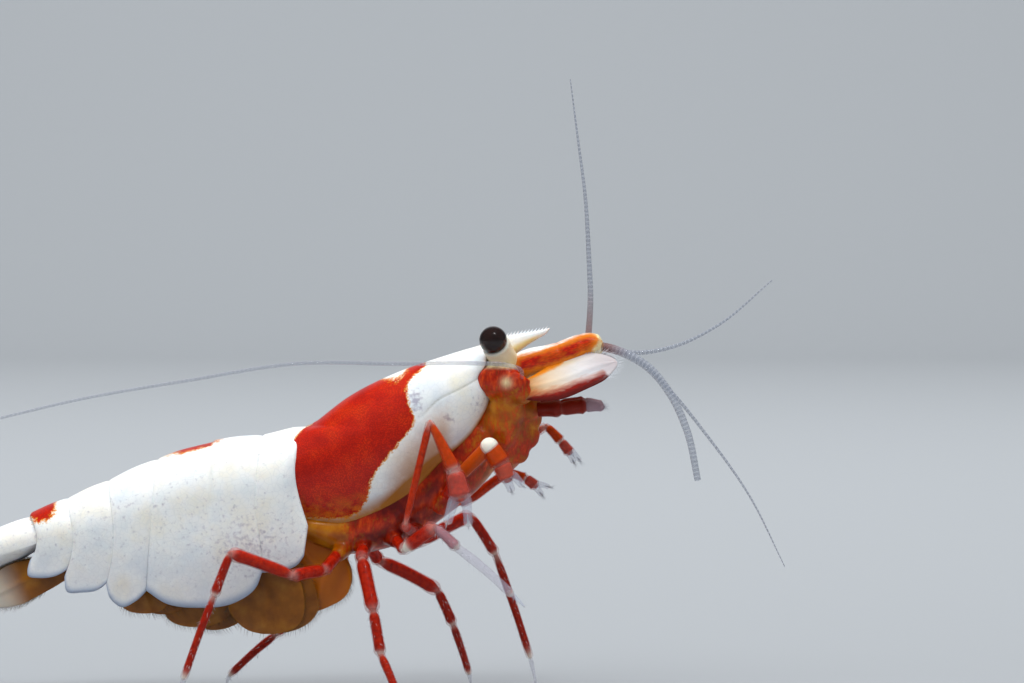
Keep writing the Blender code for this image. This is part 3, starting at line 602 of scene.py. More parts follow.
def swimmeret_cuticle():
    """Thin amber chitin of the swimmerets: tan with darker clouds 0.7 mm wide, a little of the light passing,
    all of it darkened as painted shade under the belly.

    blush turns it orange, and pale a greyish white.
    """
    made, tree = new_finish("thin_amber_chitin")
    at = {"Vector": add(tree, "ShaderNodeTexCoord", out="Object")}
    pale, blush = [add(tree, "ShaderNodeAttribute", {"attribute_name": key}, out="Fac")
                   for key in ("pale", "blush")]
    cloud = add(tree, "ShaderNodeTexNoise", {"Scale": every(0.7), "Detail": 5.0}, at)
    # The tan runs darker than the chitin's own: painted shade, for blades that hang under the belly out of
    # the top light.
    amber = add(tree, "ShaderNodeValToRGB", {"stops": [
        (0.28, linear("#543006")), (0.52, linear("#80500E")), (0.78, linear("#A87424"))]}, {0: cloud})
    amber = add(tree, "ShaderNodeMix", {"data_type": "RGBA", 7: linear("#CC6C06")},
                {0: blush, 6: amber}, out=2)
    colour = add(tree, "ShaderNodeMix", {"data_type": "RGBA", 7: linear("#D8D6CC")},
                 {0: pale, 6: amber}, out=2)
    return dressed(made, {
        "Roughness": 0.28,
        "IOR": 1.33,
        "Coat Weight": 0.15,
        "Subsurface Weight": 0.3,
        "Subsurface Radius": (1.0, 0.6, 0.3),
        "Subsurface Scale": 0.3 * MM,
        "Alpha": 0.92,
    }, {"Base Color": colour})


SHELL_FINISH = chitin_shell("chitin_cuticle_with_red_and_white_pigment")
# The head's stems and scales have the same pigments, drawn out into streaks with soft edges.
STEM_FINISH = chitin_shell("streaked_chitin_cuticle", soft=0.07, stretch=3.0, grainy=0.02)
FLESH_FINISH = body_flesh()
MUSCLE_FINISH = limb_muscle()
LIMB_FINISH = limb_cuticle()
# The cornea is a smooth clear shell that gives the dark eye a thin brown rim and one sharp glint.
CORNEA_FINISH = clear_cuticle("clear_brown_cornea", "#5A2C1E", 0.08, 0.08)
EYE_FINISH = eye_pigment()
FEELER_FINISH = feeler_cuticle("ringed_clear_chitin", 0.46)
# The antennae are finer than the antennules' feelers, so the ground shows more through them.
ANTENNA_FINISH = feeler_cuticle("fine_clear_chitin_of_the_antennae", 0.32)
SWIMMERET_FINISH = swimmeret_cuticle()
# Single hairs of clear chitin, drawn thicker than real ones so that they show: a pale shimmer at the edges.
BRISTLE_FINISH = clear_cuticle("clear_bristle_chitin", "#EEF2F8", 0.45, 0.3)
# The swimmerets' hairs are dark tan like the blades, with the same painted shade, so that no pale rim shows
# round them.
AMBER_BRISTLE_FINISH = clear_cuticle("amber_bristle_chitin", "#7A5626", 0.7, 0.4)


# ---------------------------------------------------------------- carapace and abdomen
def lifted(outer, height):
    """A surface moved along its outward normals by a height in mm."""
    normal = unit(np.cross(np.gradient(outer, axis=0), np.gradient(outer, axis=1)))
    if np.einsum("ijk,ijk->", normal, outer - outer.reshape(-1, 3).mean(axis=0)) < 0:
        normal = -normal
    return outer + normal * height[..., None]


def rear_bow(z):
    """How far the carapace's rear edge bows backwards at a height, most at a third of the way down."""
    top, low = CARAPACE_BACK[0][1], CARAPACE_RIM[0][1]
    depth = np.clip((top - z) / (top - low), 0, 1)
    return REAR_BULGE * np.sin(np.pi * depth ** 0.64)


# Freckled places, as x, z, reach in x, reach in z and strength.
CARAPACE_FRECKLES = [(4.52, 11.75, 0.30, 0.60, 1.0), (5.85, 11.10, 0.22, 0.26, 0.8),
                     (6.90, 11.60, 0.40, 0.50, 0.45)]
ABDOMEN_FRECKLES = [(-1.90, 5.90, 1.30, 1.10, 0.42)]
WHITE_SLIVER = (3.74, 0.52, 0.80)       # x, half-length and half-width of a white spot on the saddle's top


def carapace():
    """u runs along the back and v round the section: back + (rim - back) (1 - cos a) / (1 - cos wrap),
    out to half-width sin a, with a = v times the wrap.  The rear edge bows back, the front edge is notched
    behind the eye and the antenna, a lip follows the free edges, and a fine groove runs back from the
    notch."""
    u = np.linspace(0, 1, 120)[:, None]
    v = np.linspace(-1, 1, 200)[None, :]
    back = through(CARAPACE_BACK, u[:, 0])[:, None]
    rim = through(CARAPACE_RIM, u[:, 0])[:, None]
    turn = np.abs(v) * CARAPACE_WRAP
    depth = (1 - np.cos(turn)) / (1 - math.cos(CARAPACE_WRAP))
    side = back + (rim - back) * depth[..., None]
    x, z = side[..., 0], side[..., 1]
    y = height_at(CARAPACE_HALF_WIDTH, u) * np.sin(turn) * np.sign(v)
    x = x - rear_bow(z) * (1 - u) ** 4
    notches = 0.46 * bump(z, 12.66, 0.42) + 0.20 * bump(z, 13.40, 0.35)
    x = x - notches * u ** 9
    outer = np.stack([x, y, z], axis=-1)
    groove = distance_to(GROOVE, x, z)
    from_rim = (1 - depth) * np.linalg.norm(rim - back, axis=-1)
    from_rear = x - x[0]
    lip = 0.05 * bump(from_rim, 0.10, 0.10) + 0.03 * bump(from_rear, 0.08, 0.10)
    outer = lifted(outer, lip - 0.016 * bump(groove, 0, 0.07))

    # The red saddle ends at its front line, short of the rim and the rear edge, and round the white spot.
    red = height_at([(b, a) for a, b in RED_FRONT], z) - x
    red = np.minimum(red, from_rim - 0.30)
    red = np.minimum(red, from_rear - 0.10)
    spot_x, spot_long, spot_wide = WHITE_SLIVER
    around_spot = 0.3 * (np.hypot((x - spot_x - 0.1 * y ** 2) / spot_long, y / spot_wide) - 1)
    red = np.minimum(red, around_spot)
    # The shell is sheer along its rim, most widely under the saddle, up from the middle of the rim, and along
    # its front and rear edges.  Up from the rim's middle, its tan is flesh seen through it and painted shade.
    rim_reach = 0.30 + 0.50 * (1 - ease(4.6, 6.2, x))
    sheer = 1 - ease(0.08, rim_reach, from_rim)
    sheer = sheer + 0.75 * (1 - ease(0.6, 2.5, from_rim)) * ease(2.9, 4.4, x) * (1 - ease(5.5, 6.1, x))
    sheer = sheer + 0.7 * (1 - ease(0.0, 0.16, from_rear)) + 0.5 * ease(0.965, 1.0, u)
    shell = plate(outer, {
        "red": red,
        "sheer": sheer,
        "warm": 1.0,
        "orange": 0.55 * (1 - ease(0.30, 1.30, from_rim)) + 0.12 * (1 - ease(7.4, 8.6, z)),
        "line": 0.6 * bump(groove, 0, 0.036) * ease(4.6, 5.2, x),
        "speckle": blots(CARAPACE_FRECKLES, x, z),
    })
    piece("carapace_shell", shell, SHELL_FINISH, "carapace_shell", "carapace")


DOME_SHARE = 0.55       # share of a segment's half-section, from back to rim, that is dome; the rest is plate
REAR_PATCH = ((-10.00, 7.42), (0.54, 0.44), 0.35)   # red, across segments 5 and 6: centre, reaches, depth
SADDLE_PATCH = (-4.06, 0.80, 0.12, 0.20)    # red, on segment 2's top: x, its length, its drop, depth


def segment_ends(number):
    """The x of a segment's front and rear edges: each passes its neighbour's, and the first reaches under the
    carapace."""
    front, rear = SEGMENT_EDGES[number - 1] + OVERLAP, SEGMENT_EDGES[number] - OVERLAP
    if number == 1:
        front += UNDER_CARAPACE
    if number == 6:
        rear += OVERLAP
    return front, rear


def segment_grid(number, u, v):
    """A segment's bare surface, u from its front edge to its rear and v from rim to rim over the back: an
    elliptic dome, out to width sin a and down by dome (1 - cos a), then a straight side plate to the rim.
    Its edges are swept back at mid-height, and the last segment closes to a rounded end.
    Returns x, y and z, the whole drop from back to rim, and the share of it at each point."""
    q = np.abs(v)
    front, rear = segment_ends(number)
    x_top = front + (rear - front) * u[:, 0]
    edges = SEGMENT_EDGES[::-1]
    width, dome, bow = [np.interp(x_top, edges, sizes[::-1])[:, None]
                        for sizes in (SEGMENT_HALF_WIDTH, DOME_DEPTH, EDGE_SWEEP)]
    back = np.stack([x_top, height_at(ABDOMEN_BACK, x_top)], axis=-1)[:, None]
    rim = through(SIDE_PLATES[number - 1], u[:, 0])[:, None]
    full = back[..., 1] - rim[..., 1]
    dome = np.minimum(dome, full * 0.8)
    a = np.clip(q / DOME_SHARE, 0, 1) * math.pi / 2
    down_plate = np.clip((q - DOME_SHARE) / (1 - DOME_SHARE), 0, 1)
    low = ease(0, 1, down_plate) * 0.35 + 0.65 * down_plate
    share = (dome * (1 - np.cos(a)) + (full - dome) * low) / full
    side = back + (rim - back) * share[..., None]
    x, z = side[..., 0], side[..., 1]
    y = width * np.sin(a) * (1 - 0.07 * low ** 2) * np.sign(v)
    sweep = bow * np.sin(np.pi * np.clip(share, 0, 1)) - 0.10 * ease(-5.5, -3.0, x_top)[:, None]
    if number == 1:
        x = x - rear_bow(z) * (1 - u) ** 2
        sweep = sweep * u
    if number == 6:
        sweep = sweep * (1 - u)
        closes_from, closes_over = 0.901, 0.099     # shares of its length
        rounded = np.sqrt(np.clip(1 - ((u - closes_from) / closes_over).clip(0) ** 2, 0.002, 1))
        y = y * np.sqrt(np.clip(1 - ease(0.62, 1.0, q), 0, 1)) * rounded
        middle = (back + rim)[..., 1] / 2
        z = middle + (z - middle) * rounded
    return x - sweep, y, z, full, share


def segment_lift(number, x, u, plate_part):
    """How far a segment stands out: its rear edge over the next segment, its front edge tucked in.  The side
    plates of the second lie over those of the first and the third."""
    tuck_reach = 0.12 if number == 2 else 0.22
    lift = 0.012 * ease(0.65, 1.0, u) - 0.060 * (1 - ease(0.0, tuck_reach, u))
    if number == 1:
        lift = lift - 0.05 * (1 - ease(0.15, 0.45, u))
        lift = lift * (1 - plate_part) - 0.05 * plate_part * ease(0.6, 1, u)
    if number == 2:
        lift = lift * (1 - plate_part) + 0.05 * plate_part
        lift = lift - 0.06 * ease(3.26, 3.36, -x) * (1 - ease(3.6, 5.2, -x)) * (1 - plate_part)
    if number < 6:
        lift = lift + 0.08 * np.sin(np.pi * u) * (1 - plate_part)
    return lift


def segment_markings(number, x, z, from_rim, from_rear, plate_part):
    """White shell with a bluish rim that widens on the second segment's plates, a few red patches, and
    painted shade low down.
    """
    red = np.full_like(x, -1.0)
    if number == 2:
        at, long, drop, depth = SADDLE_PATCH
        red = depth * (1 - np.hypot((x - at) / long, (height_at(ABDOMEN_BACK, x) - z) / drop))
    if number in (5, 6):
        (x_at, z_at), (x_wide, z_wide), depth = REAR_PATCH
        red = depth * (1 - np.hypot((x - x_at) / x_wide, (z - z_at) / z_wide))
    rim_reach = 0.42 if number == 2 else 0.315
    sheer = 0.70 * (1 - ease(0.02, rim_reach, from_rim)) + 0.30 * (1 - ease(0.0, 0.07, from_rear))
    line = 0.03 * bump(from_rear, 0.30, 0.04) * (1 - plate_part) if 1 < number < 6 else 0.0
    speckle = 0.10 + 0.12 * bump(z, 6.9, 1.5) + (blots(ABDOMEN_FRECKLES, x, z) if number < 3 else 0.0)
    return {
        "red": red,
        # The white greys towards the bottom: painted shade under the light from above.
        "sheer": np.clip(sheer + 0.40 * (1 - ease(4.0, 7.4, z)), 0, 1),
        "warm": 0.22 * ease(0.1, 0.5, from_rim),
        "line": line,
        "speckle": speckle,
    }


def abdomen_segment(number):
    """One shell segment: a plate over the body, or, for the last, a closed case that holds the tail fan."""
    u = np.linspace(0, 1, 70 if number in (2, 6) else 44)[:, None]
    v = np.linspace(-1, 1, 170)[None, :]
    plate_part = ease(0.60, 0.85, np.abs(v))
    x, y, z, full, share = segment_grid(number, u, v)
    outer = lifted(np.stack([x, y, z], axis=-1), segment_lift(number, x, u, plate_part))
    front, rear = segment_ends(number)
    values = segment_markings(number, x, z, (1 - share) * full, (1 - u) * (front - rear), plate_part)
    if number == 6:
        # The last column lies on the first, so the rings leave it out.
        values = {key: np.broadcast_to(value, x.shape)[:, :-1] for key, value in values.items()}
        shell = closed_rings(outer[:, :-1], values)
    else:
        shell = plate(outer, values)
    piece(f"abdomen_shell_{number}", shell, SHELL_FINISH, "body_shell", f"abdomen_{number}")


# ---------------------------------------------------------------- flesh
def body_tube(line, depths, widths):
    """A tube along a side-view line: ring = centre + depth cos a across the line and width sin a sideways."""
    places = np.array(line, float)
    steps = np.linalg.norm(np.diff(places, axis=0), axis=1)
    knots = np.concatenate([[0], np.cumsum(steps)]) / steps.sum()
    t = np.linspace(0, 1, 150)
    path = through(line, t)
    depth, width = np.interp(t, knots, depths), np.interp(t, knots, widths)
    ahead = unit(np.gradient(path, axis=0))
    a = around(44)[None, :]
    across = depth[:, None] * np.cos(a)
    return closed_rings(np.stack([
        path[:, :1] + ahead[:, 1:] * across,
        width[:, None] * np.sin(a),
        path[:, 1:] - ahead[:, :1] * across,
    ], axis=-1))


def merged(shapes, cell, rounds):
    """Closed shapes that overlap, made one skin by a remesh with square cells, then smoothed a few rounds."""
    whole = joined(shapes)
    mesh = bpy.data.meshes.new("merging")
    mesh.from_pydata(whole.points.tolist(), [], whole.quads.tolist() + whole.tris.tolist())
    rough = bpy.data.objects.new("merging", mesh)
    bpy.context.scene.collection.objects.link(rough)
    remesh = rough.modifiers.new("remesh", "REMESH")
    remesh.mode = "VOXEL"
    remesh.voxel_size = cell
    smooth = rough.modifiers.new("smooth", "SMOOTH")
    smooth.factor = 0.5
    smooth.iterations = rounds
    made = bpy.data.meshes.new_from_object(rough.evaluated_get(bpy.context.evaluated_depsgraph_get()))
    points = np.empty(len(made.vertices) * 3)
    made.vertices.foreach_get("co", points)
    corners = np.empty(len(made.loops), int)
    made.loops.foreach_get("vertex_index", corners)
    bpy.data.objects.remove(rough)
    return Shape(points, corners.reshape(-1, 4)).turned_out()


# Lobes of flesh on the left side, as x, y, z, radius and how each axis stretches.
LOBE, JAW = (1.0, 1.0, 1.0), (1.0, 0.62, 1.25)
HEAD_LOBES = [
    (8.20, 1.00, 11.96, 0.60, (1.15, 0.8, 0.9)),    # the ledge between the antenna's base and the mouth
    (7.80, 0.80, 13.16, 0.46, LOBE),                # the pale socket under the eye
    (8.05, 1.02, 12.72, 0.52, LOBE),
    (7.66, 0.98, 12.50, 0.64, (1.2, 0.78, 0.95)),   # the cheek
    (8.66, 1.34, 12.00, 0.42, (1.1, 0.9, 1.0)),
    (8.12, 0.84, 11.42, 0.66, (1.1, 0.75, 1.2)),
    (8.94, 0.60, 11.30, 0.44, LOBE),
    (7.95, 0.72, 10.80, 0.66, (1.1, 0.75, 1.2)),
    (8.92, 0.52, 11.75, 0.44, JAW),                 # jaws, and the folded mouthparts beside them
    (9.02, 0.50, 11.05, 0.44, JAW),
    (8.92, 0.44, 10.35, 0.44, JAW),
    (8.30, 0.84, 11.20, 0.46, JAW),
    (8.00, 0.84, 10.40, 0.45, JAW),
    (8.55, 0.40, 9.75, 0.42, JAW),
]


def flesh_skin():
    """One skin for all flesh: the head, the mouth, the floor of the thorax, the limb roots and the belly.

    Each is a tube round a line of its own or a lobe, and a remesh makes them one surface with no seam."""
    belly = body_tube(
        [(7.30, 10.40), (6.15, 9.18), (4.55, 7.90), (3.10, 7.04), (1.75, 6.62), (0.60, 6.78), (-0.70, 7.22),
         (-3.00, 7.10), (-6.00, 6.72), (-8.60, 6.45), (-10.60, 6.35)],
        [1.10, 1.26, 1.26, 1.18, 0.94, 0.66, 0.52, 0.56, 0.52, 0.50, 0.36],
        [0.96, 1.06, 1.16, 1.22, 1.24, 1.34, 1.50, 1.55, 1.36, 0.95, 0.62])
    head = body_tube([(5.90, 12.20), (7.20, 12.56), (8.00, 12.60), (8.80, 12.70)],
                     [0.80, 1.00, 0.86, 0.46], [0.78, 0.96, 0.92, 0.62])
    mouth = body_tube([(7.90, 12.50), (8.16, 11.60), (7.90, 10.60), (7.20, 9.60)],
                      [0.86, 1.24, 1.40, 1.25], [0.92, 1.02, 0.98, 0.88])
    shapes = [belly, head, mouth]
    t = np.linspace(0, 1, 24)
    for side, word in SIDES:
        # The antenna's stem, with a blunt end.
        stem = (0.38 + 0.07 * np.sin(math.pi * t)) * (1 - ease(0.7, 1.1, t))
        shapes.append(tube(through([(7.40, side * 0.80, 12.05), (8.34, side * 1.42, 12.40),
                                    (9.00, side * 1.50, 12.48)], t), stem, 24))
        for x, y, z, radius, stretch in HEAD_LOBES:
            shapes.append(ball((x, side * y, z), radius, 20, 28, stretch))
        # A rounded root for each leg.
        for name, joints in LEG_JOINTS.items():
            if name.endswith(word):
                first, second = np.array(joints[:2]) * (1, side, 1)
                path = first + (second - first) * (t[:, None] * 0.62 - 0.35)
                shapes.append(tube(path, 0.40 - 0.12 * t, 24))
    skin = merged(shapes, 0.055, 16)
    # Red cells lie thick on the thorax's floor and the cheeks, and dark mottles on the floor alone.
    x, z = skin.points[:, 0], skin.points[:, 2]
    forward = ease(1.3, 2.4, x)
    cheek = np.hypot(x - 8.05, z - 12.45)
    skin.values = {
        "blush": 0.02 + 0.56 * forward * (1 - ease(6.4, 7.6, x)) + 0.44 * ease(11.6, 12.6, z)
        + 0.20 * ease(6.5, 8.0, x) + 0.24 * bump(z, 9.8, 0.8) * ease(6.5, 8.0, x),
        "dusk": forward * (1 - ease(6.3, 7.3, x)),
        "pale": 1.4 * ease(12.90, 13.15, z) + 0.9 * bump(cheek, 0, 0.20),
    }
    piece("body_flesh_skin", skin, FLESH_FINISH, "thorax_flesh", "thorax", "mouthparts",
          "antenna_base_left", "antenna_base_right")


# ---------------------------------------------------------------- head
ROSTRUM_TEETH = 24      # along the whole blade, of which those from a third of the way on show
STEM = [(8.30, 0.54, 12.88), (9.00, 0.58, 13.16), (9.90, 0.61, 13.34), (10.70, 0.61, 13.66),
        (11.25, 0.60, 13.84), (11.80, 0.60, 13.72)]     # the middle line of the left antennule's stem
SCALE = [(8.25, 1.10, 12.14), (9.20, 1.45, 12.26), (10.40, 1.50, 12.60), (11.45, 1.42, 13.00),
         (12.34, 1.32, 13.24)]                          # and of the left antennal scale


def rostrum():
    """u runs from inside the carapace to the tip and v round the blade: middle + half-height cos a upwards
    and half-thickness sin a sideways, thinned to ridges above and below.  The teeth lean forward on its
    upper edge: a saw wave along u that rises over four fifths of each tooth."""
    u = np.linspace(0, 1, 300)
    top = through([(6.55, 13.62), (7.20, 13.90), (8.11, 14.24), (8.80, 14.36), (9.36, 14.44),
                   (9.74, 14.52)], u)
    low = through([(6.70, 13.00), (7.60, 13.22), (8.28, 13.38), (8.58, 13.62), (8.97, 13.90), (9.36, 14.13),
                   (9.60, 14.28), (9.74, 14.48)], u)
    a = around(48)[None, :]
    middle, half = (top + low) / 2, (top - low) / 2
    x = middle[:, :1] + half[:, :1] * np.cos(a)
    z = middle[:, 1:] + half[:, 1:] * np.cos(a)
    thick = (0.30 * (1 - u) ** 0.8 + 0.045)[:, None]
    ridge = 1 - 0.55 * np.abs(np.cos(a)) ** 3
    rise = 0.8
    saw = (u * ROSTRUM_TEETH) % 1.0
    saw = np.where(saw < rise, saw / rise, (1 - saw) / (1 - rise))
    toothed = ease(0.34, 0.42, u) * (1 - ease(0.95, 1.0, u))
    edge = np.clip(np.cos(a), 0, 1) ** 8
    tooth = (saw * toothed)[:, None] * edge
    y = thick * np.sin(a) * ridge * (1 - 0.6 * tooth)
    depth = (1 - np.cos(a)) / 2
    blade = closed_rings(np.stack([x + 0.08 * tooth, y, z + 0.165 * tooth - 0.055 * edge], axis=-1), {
        "cream": ease(0.45, 0.75, depth) * (1 - ease(9.0, 9.6, x)),
        "red": -1.0,
        "sheer": 0.35 * ease(0.8, 1.0, depth) + 0.5 * edge * ease(0.3, 0.45, u)[:, None],
    })
    piece("rostrum_blade", blade, SHELL_FINISH, "body_shell", "rostrum")


def eye(side, word):
    """A stalk that swells a little into a cup, a dark ball in it, and a clear cornea round the ball."""
    centre = (EYE_CENTRE + (0.05, 0, -0.05 - 0.05 * side)) * (1, side, 1)
    root = np.array([8.00, side * 0.62, 13.20])
    reach = 0.84        # the cup's edge, as a share of the way to the ball's centre
    t = np.linspace(0, 1, 60)
    path = root + (centre - root) * t[:, None] * reach
    radius = 0.55 - 0.02 * t + 0.02 * bump(t, 0.84, 0.08) - 0.20 * ease(0.90, 1.0, t)
    stalk = tube(path, radius, 40, values={
        "cream": 0.85 - 0.35 * t,
        "red": -1.0,
        "sheer": 0.40 * bump(t, 0.95, 0.08),
    })
    piece("eyestalk_skin_" + word, stalk, SHELL_FINISH, "eyestalk", "eyestalk_" + word)
    piece("eye_pigment_" + word, ball(centre, 0.535, 60, 90), EYE_FINISH, "eye", "eye_" + word)
    piece("eye_cornea_" + word, ball(centre, 0.566, 48, 72), CORNEA_FINISH, "eye")


def antennule(side, word):
    """Three segments along a line, each swollen a little before its joint: centre + depth cos a upwards and
    0.83 depth sin a sideways.  The top is white, the outer side carries a red band that breaks up into orange
    below, and the last segment ends in a cream collar."""
    t = np.linspace(0, 1, 150)
    path = through(np.array(STEM) * (1, side, 1), t)
    swell = 0.018 * (bump(t, 0.46, 0.07) + bump(t, 0.72, 0.06) - bump(t, 0.54, 0.02) - bump(t, 0.79, 0.02))
    radius = (0.53 - 0.08 * ease(0.3, 1.0, t) + swell) * np.sqrt(np.clip((1.01 - t) / 0.09, 0.05, 1))
    shape = tube(path, radius, 48, 0.83)
    x, z = shape.points[:, 0], shape.points[:, 2]
    # Height above the middle line, from -1 at the underside to 1 on top.
    height = (z - np.interp(x, path[:, 0], path[:, 2])) / np.interp(x, path[:, 0], radius.clip(0.3, 1))
    top_of_red = 0.86 - 0.14 * (1 - ease(9.3, 10.0, x))
    red = np.minimum(0.36 * (top_of_red - height), 0.5 * (x - 8.4))
    red = np.minimum(red, 0.5 * (11.40 - x + 0.25 * height))
    red = np.minimum(red, 0.36 * (height + 0.72))
    shape.values = {
        "red": red,
        "cream": 0.8 * ease(11.1, 11.5, x) + 0.9 * (1 - ease(-0.7, -0.35, height)),
        "orange": 1.6 * (1 - ease(-0.75, 0.05, height)) + 0.42,
        "sheer": 0.2 * (1 - ease(8.6, 9.2, x)),
        "warm": 0.5,
    }
    piece("antennule_stem_" + word, shape, STEM_FINISH, "antennule_stem", "antennule_" + word)


def leaf(spine, widths, across, thickness, rib=0.5, rounding=0.12):
    """A thin leaf along a spine: ring = centre + half-width cos a across + half-thickness sin a out of its
    plane, with a raised rib down the middle and an end that closes as an ellipse over the rounding's share.
    Returns its rings, its middle line, its half-widths, the way across and the way ahead."""
    t = np.linspace(0, 1, 110)
    path = through(spine, t)
    half = through(np.column_stack([np.linspace(0, 3, len(widths)), widths]), t)[:, 1]
    tip = np.sqrt(np.clip(1 - ((t - 1 + rounding) / rounding).clip(0) ** 2, 0.0004, 1))
    half = np.maximum(half, 0.02) * tip
    ahead = unit(np.gradient(path, axis=0))
    side = unit(np.asarray(across, float) - ahead * (ahead @ np.asarray(across, float))[:, None])
    out = np.cross(ahead, side)
    a = around(64)[None, :, None]
    body = thickness * (1 + rib * bump(np.cos(a), 0, 0.14)) * tip[:, None, None]
    rings = (path[:, None] + half[:, None, None] * np.cos(a) * side[:, None]
             + body * np.sin(a) * out[:, None])
    return rings, path, half, side, ahead


def leaf_grid(rings):
    """For each point of a leaf, its share of the way along, and its place across: 1 and -1 at the edges."""
    share = np.linspace(0, 1, len(rings))[:, None]
    return share, np.cos(around(rings.shape[1]))[None, :]


def hair_row(starts, reach, width, droop=(0, 0, 0), least=0.6, most=1.0):
    """Hairs from rows of roots, ways and places on the unwrap.  Each has a length of its own, from least to
    most times the reach."""
    roots, ways, places = [np.concatenate(column) for column in zip(*starts)]
    return hairs(roots, ways, reach * RNG.uniform(least, most, len(roots)), width, places, droop)


def fringe(leaf_parts, first, reach, per_mm, width, spread, ends=(1, -1)):
    """Hairs along a leaf's edge from a share of its length on: each root is on the edge, and each hair points
    out, and the more towards the tip the nearer to it.

    A hair's place on the unwrap is its distance across and along the flattened leaf."""
    _, path, half, side, ahead = leaf_parts
    length = np.linalg.norm(np.diff(path, axis=0), axis=1).sum()
    last = 0.999
    count = int(length * (last - first) * per_mm)
    starts = []
    for end in ends:
        t = np.linspace(first, last, count) + RNG.normal(0, 0.15 / count, count)
        t = np.clip(t, 0, last)
        k = t * (len(path) - 1)
        steps = np.arange(len(path))
        root, out, on = [np.stack([np.interp(k, steps, data[:, axis]) for axis in range(3)], axis=-1)
                         for data in (path, side, ahead)]
        w = np.interp(k, steps, half)
        lean = spread + (1.9 - spread) * ease(0.80, 1.0, t) + RNG.normal(0, 0.07, count)
        lean = np.minimum(lean, math.pi / 2)
        way = unit(out * (end * np.cos(lean))[:, None] + on * np.sin(lean)[:, None]
                   + RNG.normal(0, 0.03, (count, 3)))
        place = np.stack([0.5 + end * w * 0.1, 0.1 + t * 0.8], axis=-1)
        starts.append((root + out * (end * w * 0.97)[:, None], way, place))
    return hair_row(starts, reach, width, (0, 0, -0.04), 0.75, 1.05)


def antennal_scale(side, word):
    """A leaf beside the antennule: its upper band is white and cream, its outer and lower band dark red, and
    its end clear, with a fringe of long hairs round the end and the inner edge.  Painted shade greys the
    whole blade to tan and darkens the red band towards its lower edge."""
    parts = leaf(np.array(SCALE) * (1, side, 1), [0.24, 0.62, 0.86, 0.82, 0.74, 0.42],
                 (0, -side * 0.62, 0.78), 0.07, rounding=0.20)
    rings, _, half, _, _ = parts
    share, high = leaf_grid(rings)
    lower = 0.5 * (-0.42 - high) * half[:, None]
    upper = 0.5 * (high - 0.86 - 0.8 * ease(0.45, 0.70, share)) * half[:, None]
    scale = closed_rings(rings, {
        "red": np.maximum(lower, upper) - 0.3 * (1 - ease(0.04, 0.22, share)) - 0.6 * ease(0.84, 0.95, share),
        # The red band is the scale's own colour; deep darkens it towards the lower edge as painted shade.
        "deep": 0.50 * (1 - ease(-0.30, 0.10, high)) + 0.40 * (1 - ease(-0.90, -0.55, high)),
        "orange": 1.3 * ease(0.2, 0.6, high),
        "cream": 0.55 * (1 - ease(0.30, 0.75, share))
        + 0.5 * ease(0.55, 0.85, high) * (1 - ease(0.6, 0.8, share)),
        # The 0.42 over the whole blade greys it to tan: painted shade on its upturned face; the clear end and
        # root are truly sheer.
        "sheer": 0.42 + 0.40 * ease(0.60, 0.95, share) + 0.1 * ease(0.75, 1.0, high) * ease(0.5, 0.7, share)
        + 0.50 * (1 - ease(0.14, 0.40, share)),
        "warm": 0.35 + 0.65 * (1 - ease(0.2, 0.7, share)),
    })
    piece("antennal_scale_plate_" + word, scale, STEM_FINISH, "antennal_scale", "antennal_scale_" + word)
    hair = joined([fringe(parts, 0.45, 0.50, 34, 0.022, 0.55, (1,)),
                   fringe(parts, 0.86, 0.42, 44, 0.022, 0.8, (-1,))])
    piece("antennal_scale_fringe_" + word, hair, BRISTLE_FINISH, "antennal_scale")


# From one ring of a feeler to the next.  Real rings are finer: these are as coarse as they need to show.
RING_GAP = 0.165
STEPS_PER_RING = 6
# For each feeler: its line from root to tip, its radius at either, how rusty its root is, and its finish.
FEELERS = {
    "antennule_outer_right": (
        [(11.30, -0.60, 13.84), (11.95, -0.70, 13.76), (12.75, -1.02, 13.50), (13.50, -1.22, 13.05),
         (14.35, -1.45, 12.05), (15.02, -1.65, 10.60), (15.44, -1.80, 8.66)],
        0.185, 0.13, 1.5, FEELER_FINISH),
    "antennule_inner_right": (
        [(11.40, -0.50, 13.84), (13.10, -0.26, 13.30), (14.40, -0.22, 12.10), (15.80, -0.20, 10.40),
         (17.50, -0.25, 8.00), (18.90, -0.40, 5.20)],
        0.10, 0.02, 0.3, FEELER_FINISH),
    "antennule_outer_left": (
        [(11.24, 0.74, 13.90), (11.34, 0.82, 15.60), (11.28, 0.95, 17.20), (11.14, 1.20, 19.60),
         (10.84, 1.55, 22.00), (10.56, 1.90, 24.25)],
        0.13, 0.02, 1.0, FEELER_FINISH),
    "antennule_inner_left": (
        [(11.40, 0.52, 13.84), (13.20, 0.50, 13.52), (14.60, 0.70, 13.76), (16.30, 1.00, 14.55),
         (18.50, 1.40, 16.35)],
        0.11, 0.02, 0.2, FEELER_FINISH),
    "antenna_right": (
        [(8.62, -1.46, 12.42), (8.60, -1.94, 12.94), (8.02, -2.26, 13.16), (7.10, -2.42, 13.22),
         (4.00, -2.80, 13.22), (0.20, -3.40, 13.26), (-4.00, -4.30, 12.65), (-8.00, -5.20, 11.98),
         (-11.80, -6.05, 11.10), (-17.00, -7.20, 9.90), (-21.40, -8.10, 8.60)],
        0.09, 0.03, 0.2, ANTENNA_FINISH),
    "antenna_left": (
        [(8.62, 1.46, 12.42), (8.60, 1.94, 12.90), (8.02, 2.36, 12.90), (6.80, 2.90, 12.50),
         (3.50, 3.80, 11.20), (-0.50, 4.80, 9.60), (-5.00, 5.80, 8.00), (-10.00, 6.80, 6.60),
         (-15.00, 7.70, 5.50), (-20.00, 8.50, 4.60)],
        0.09, 0.03, 0.2, ANTENNA_FINISH),
}


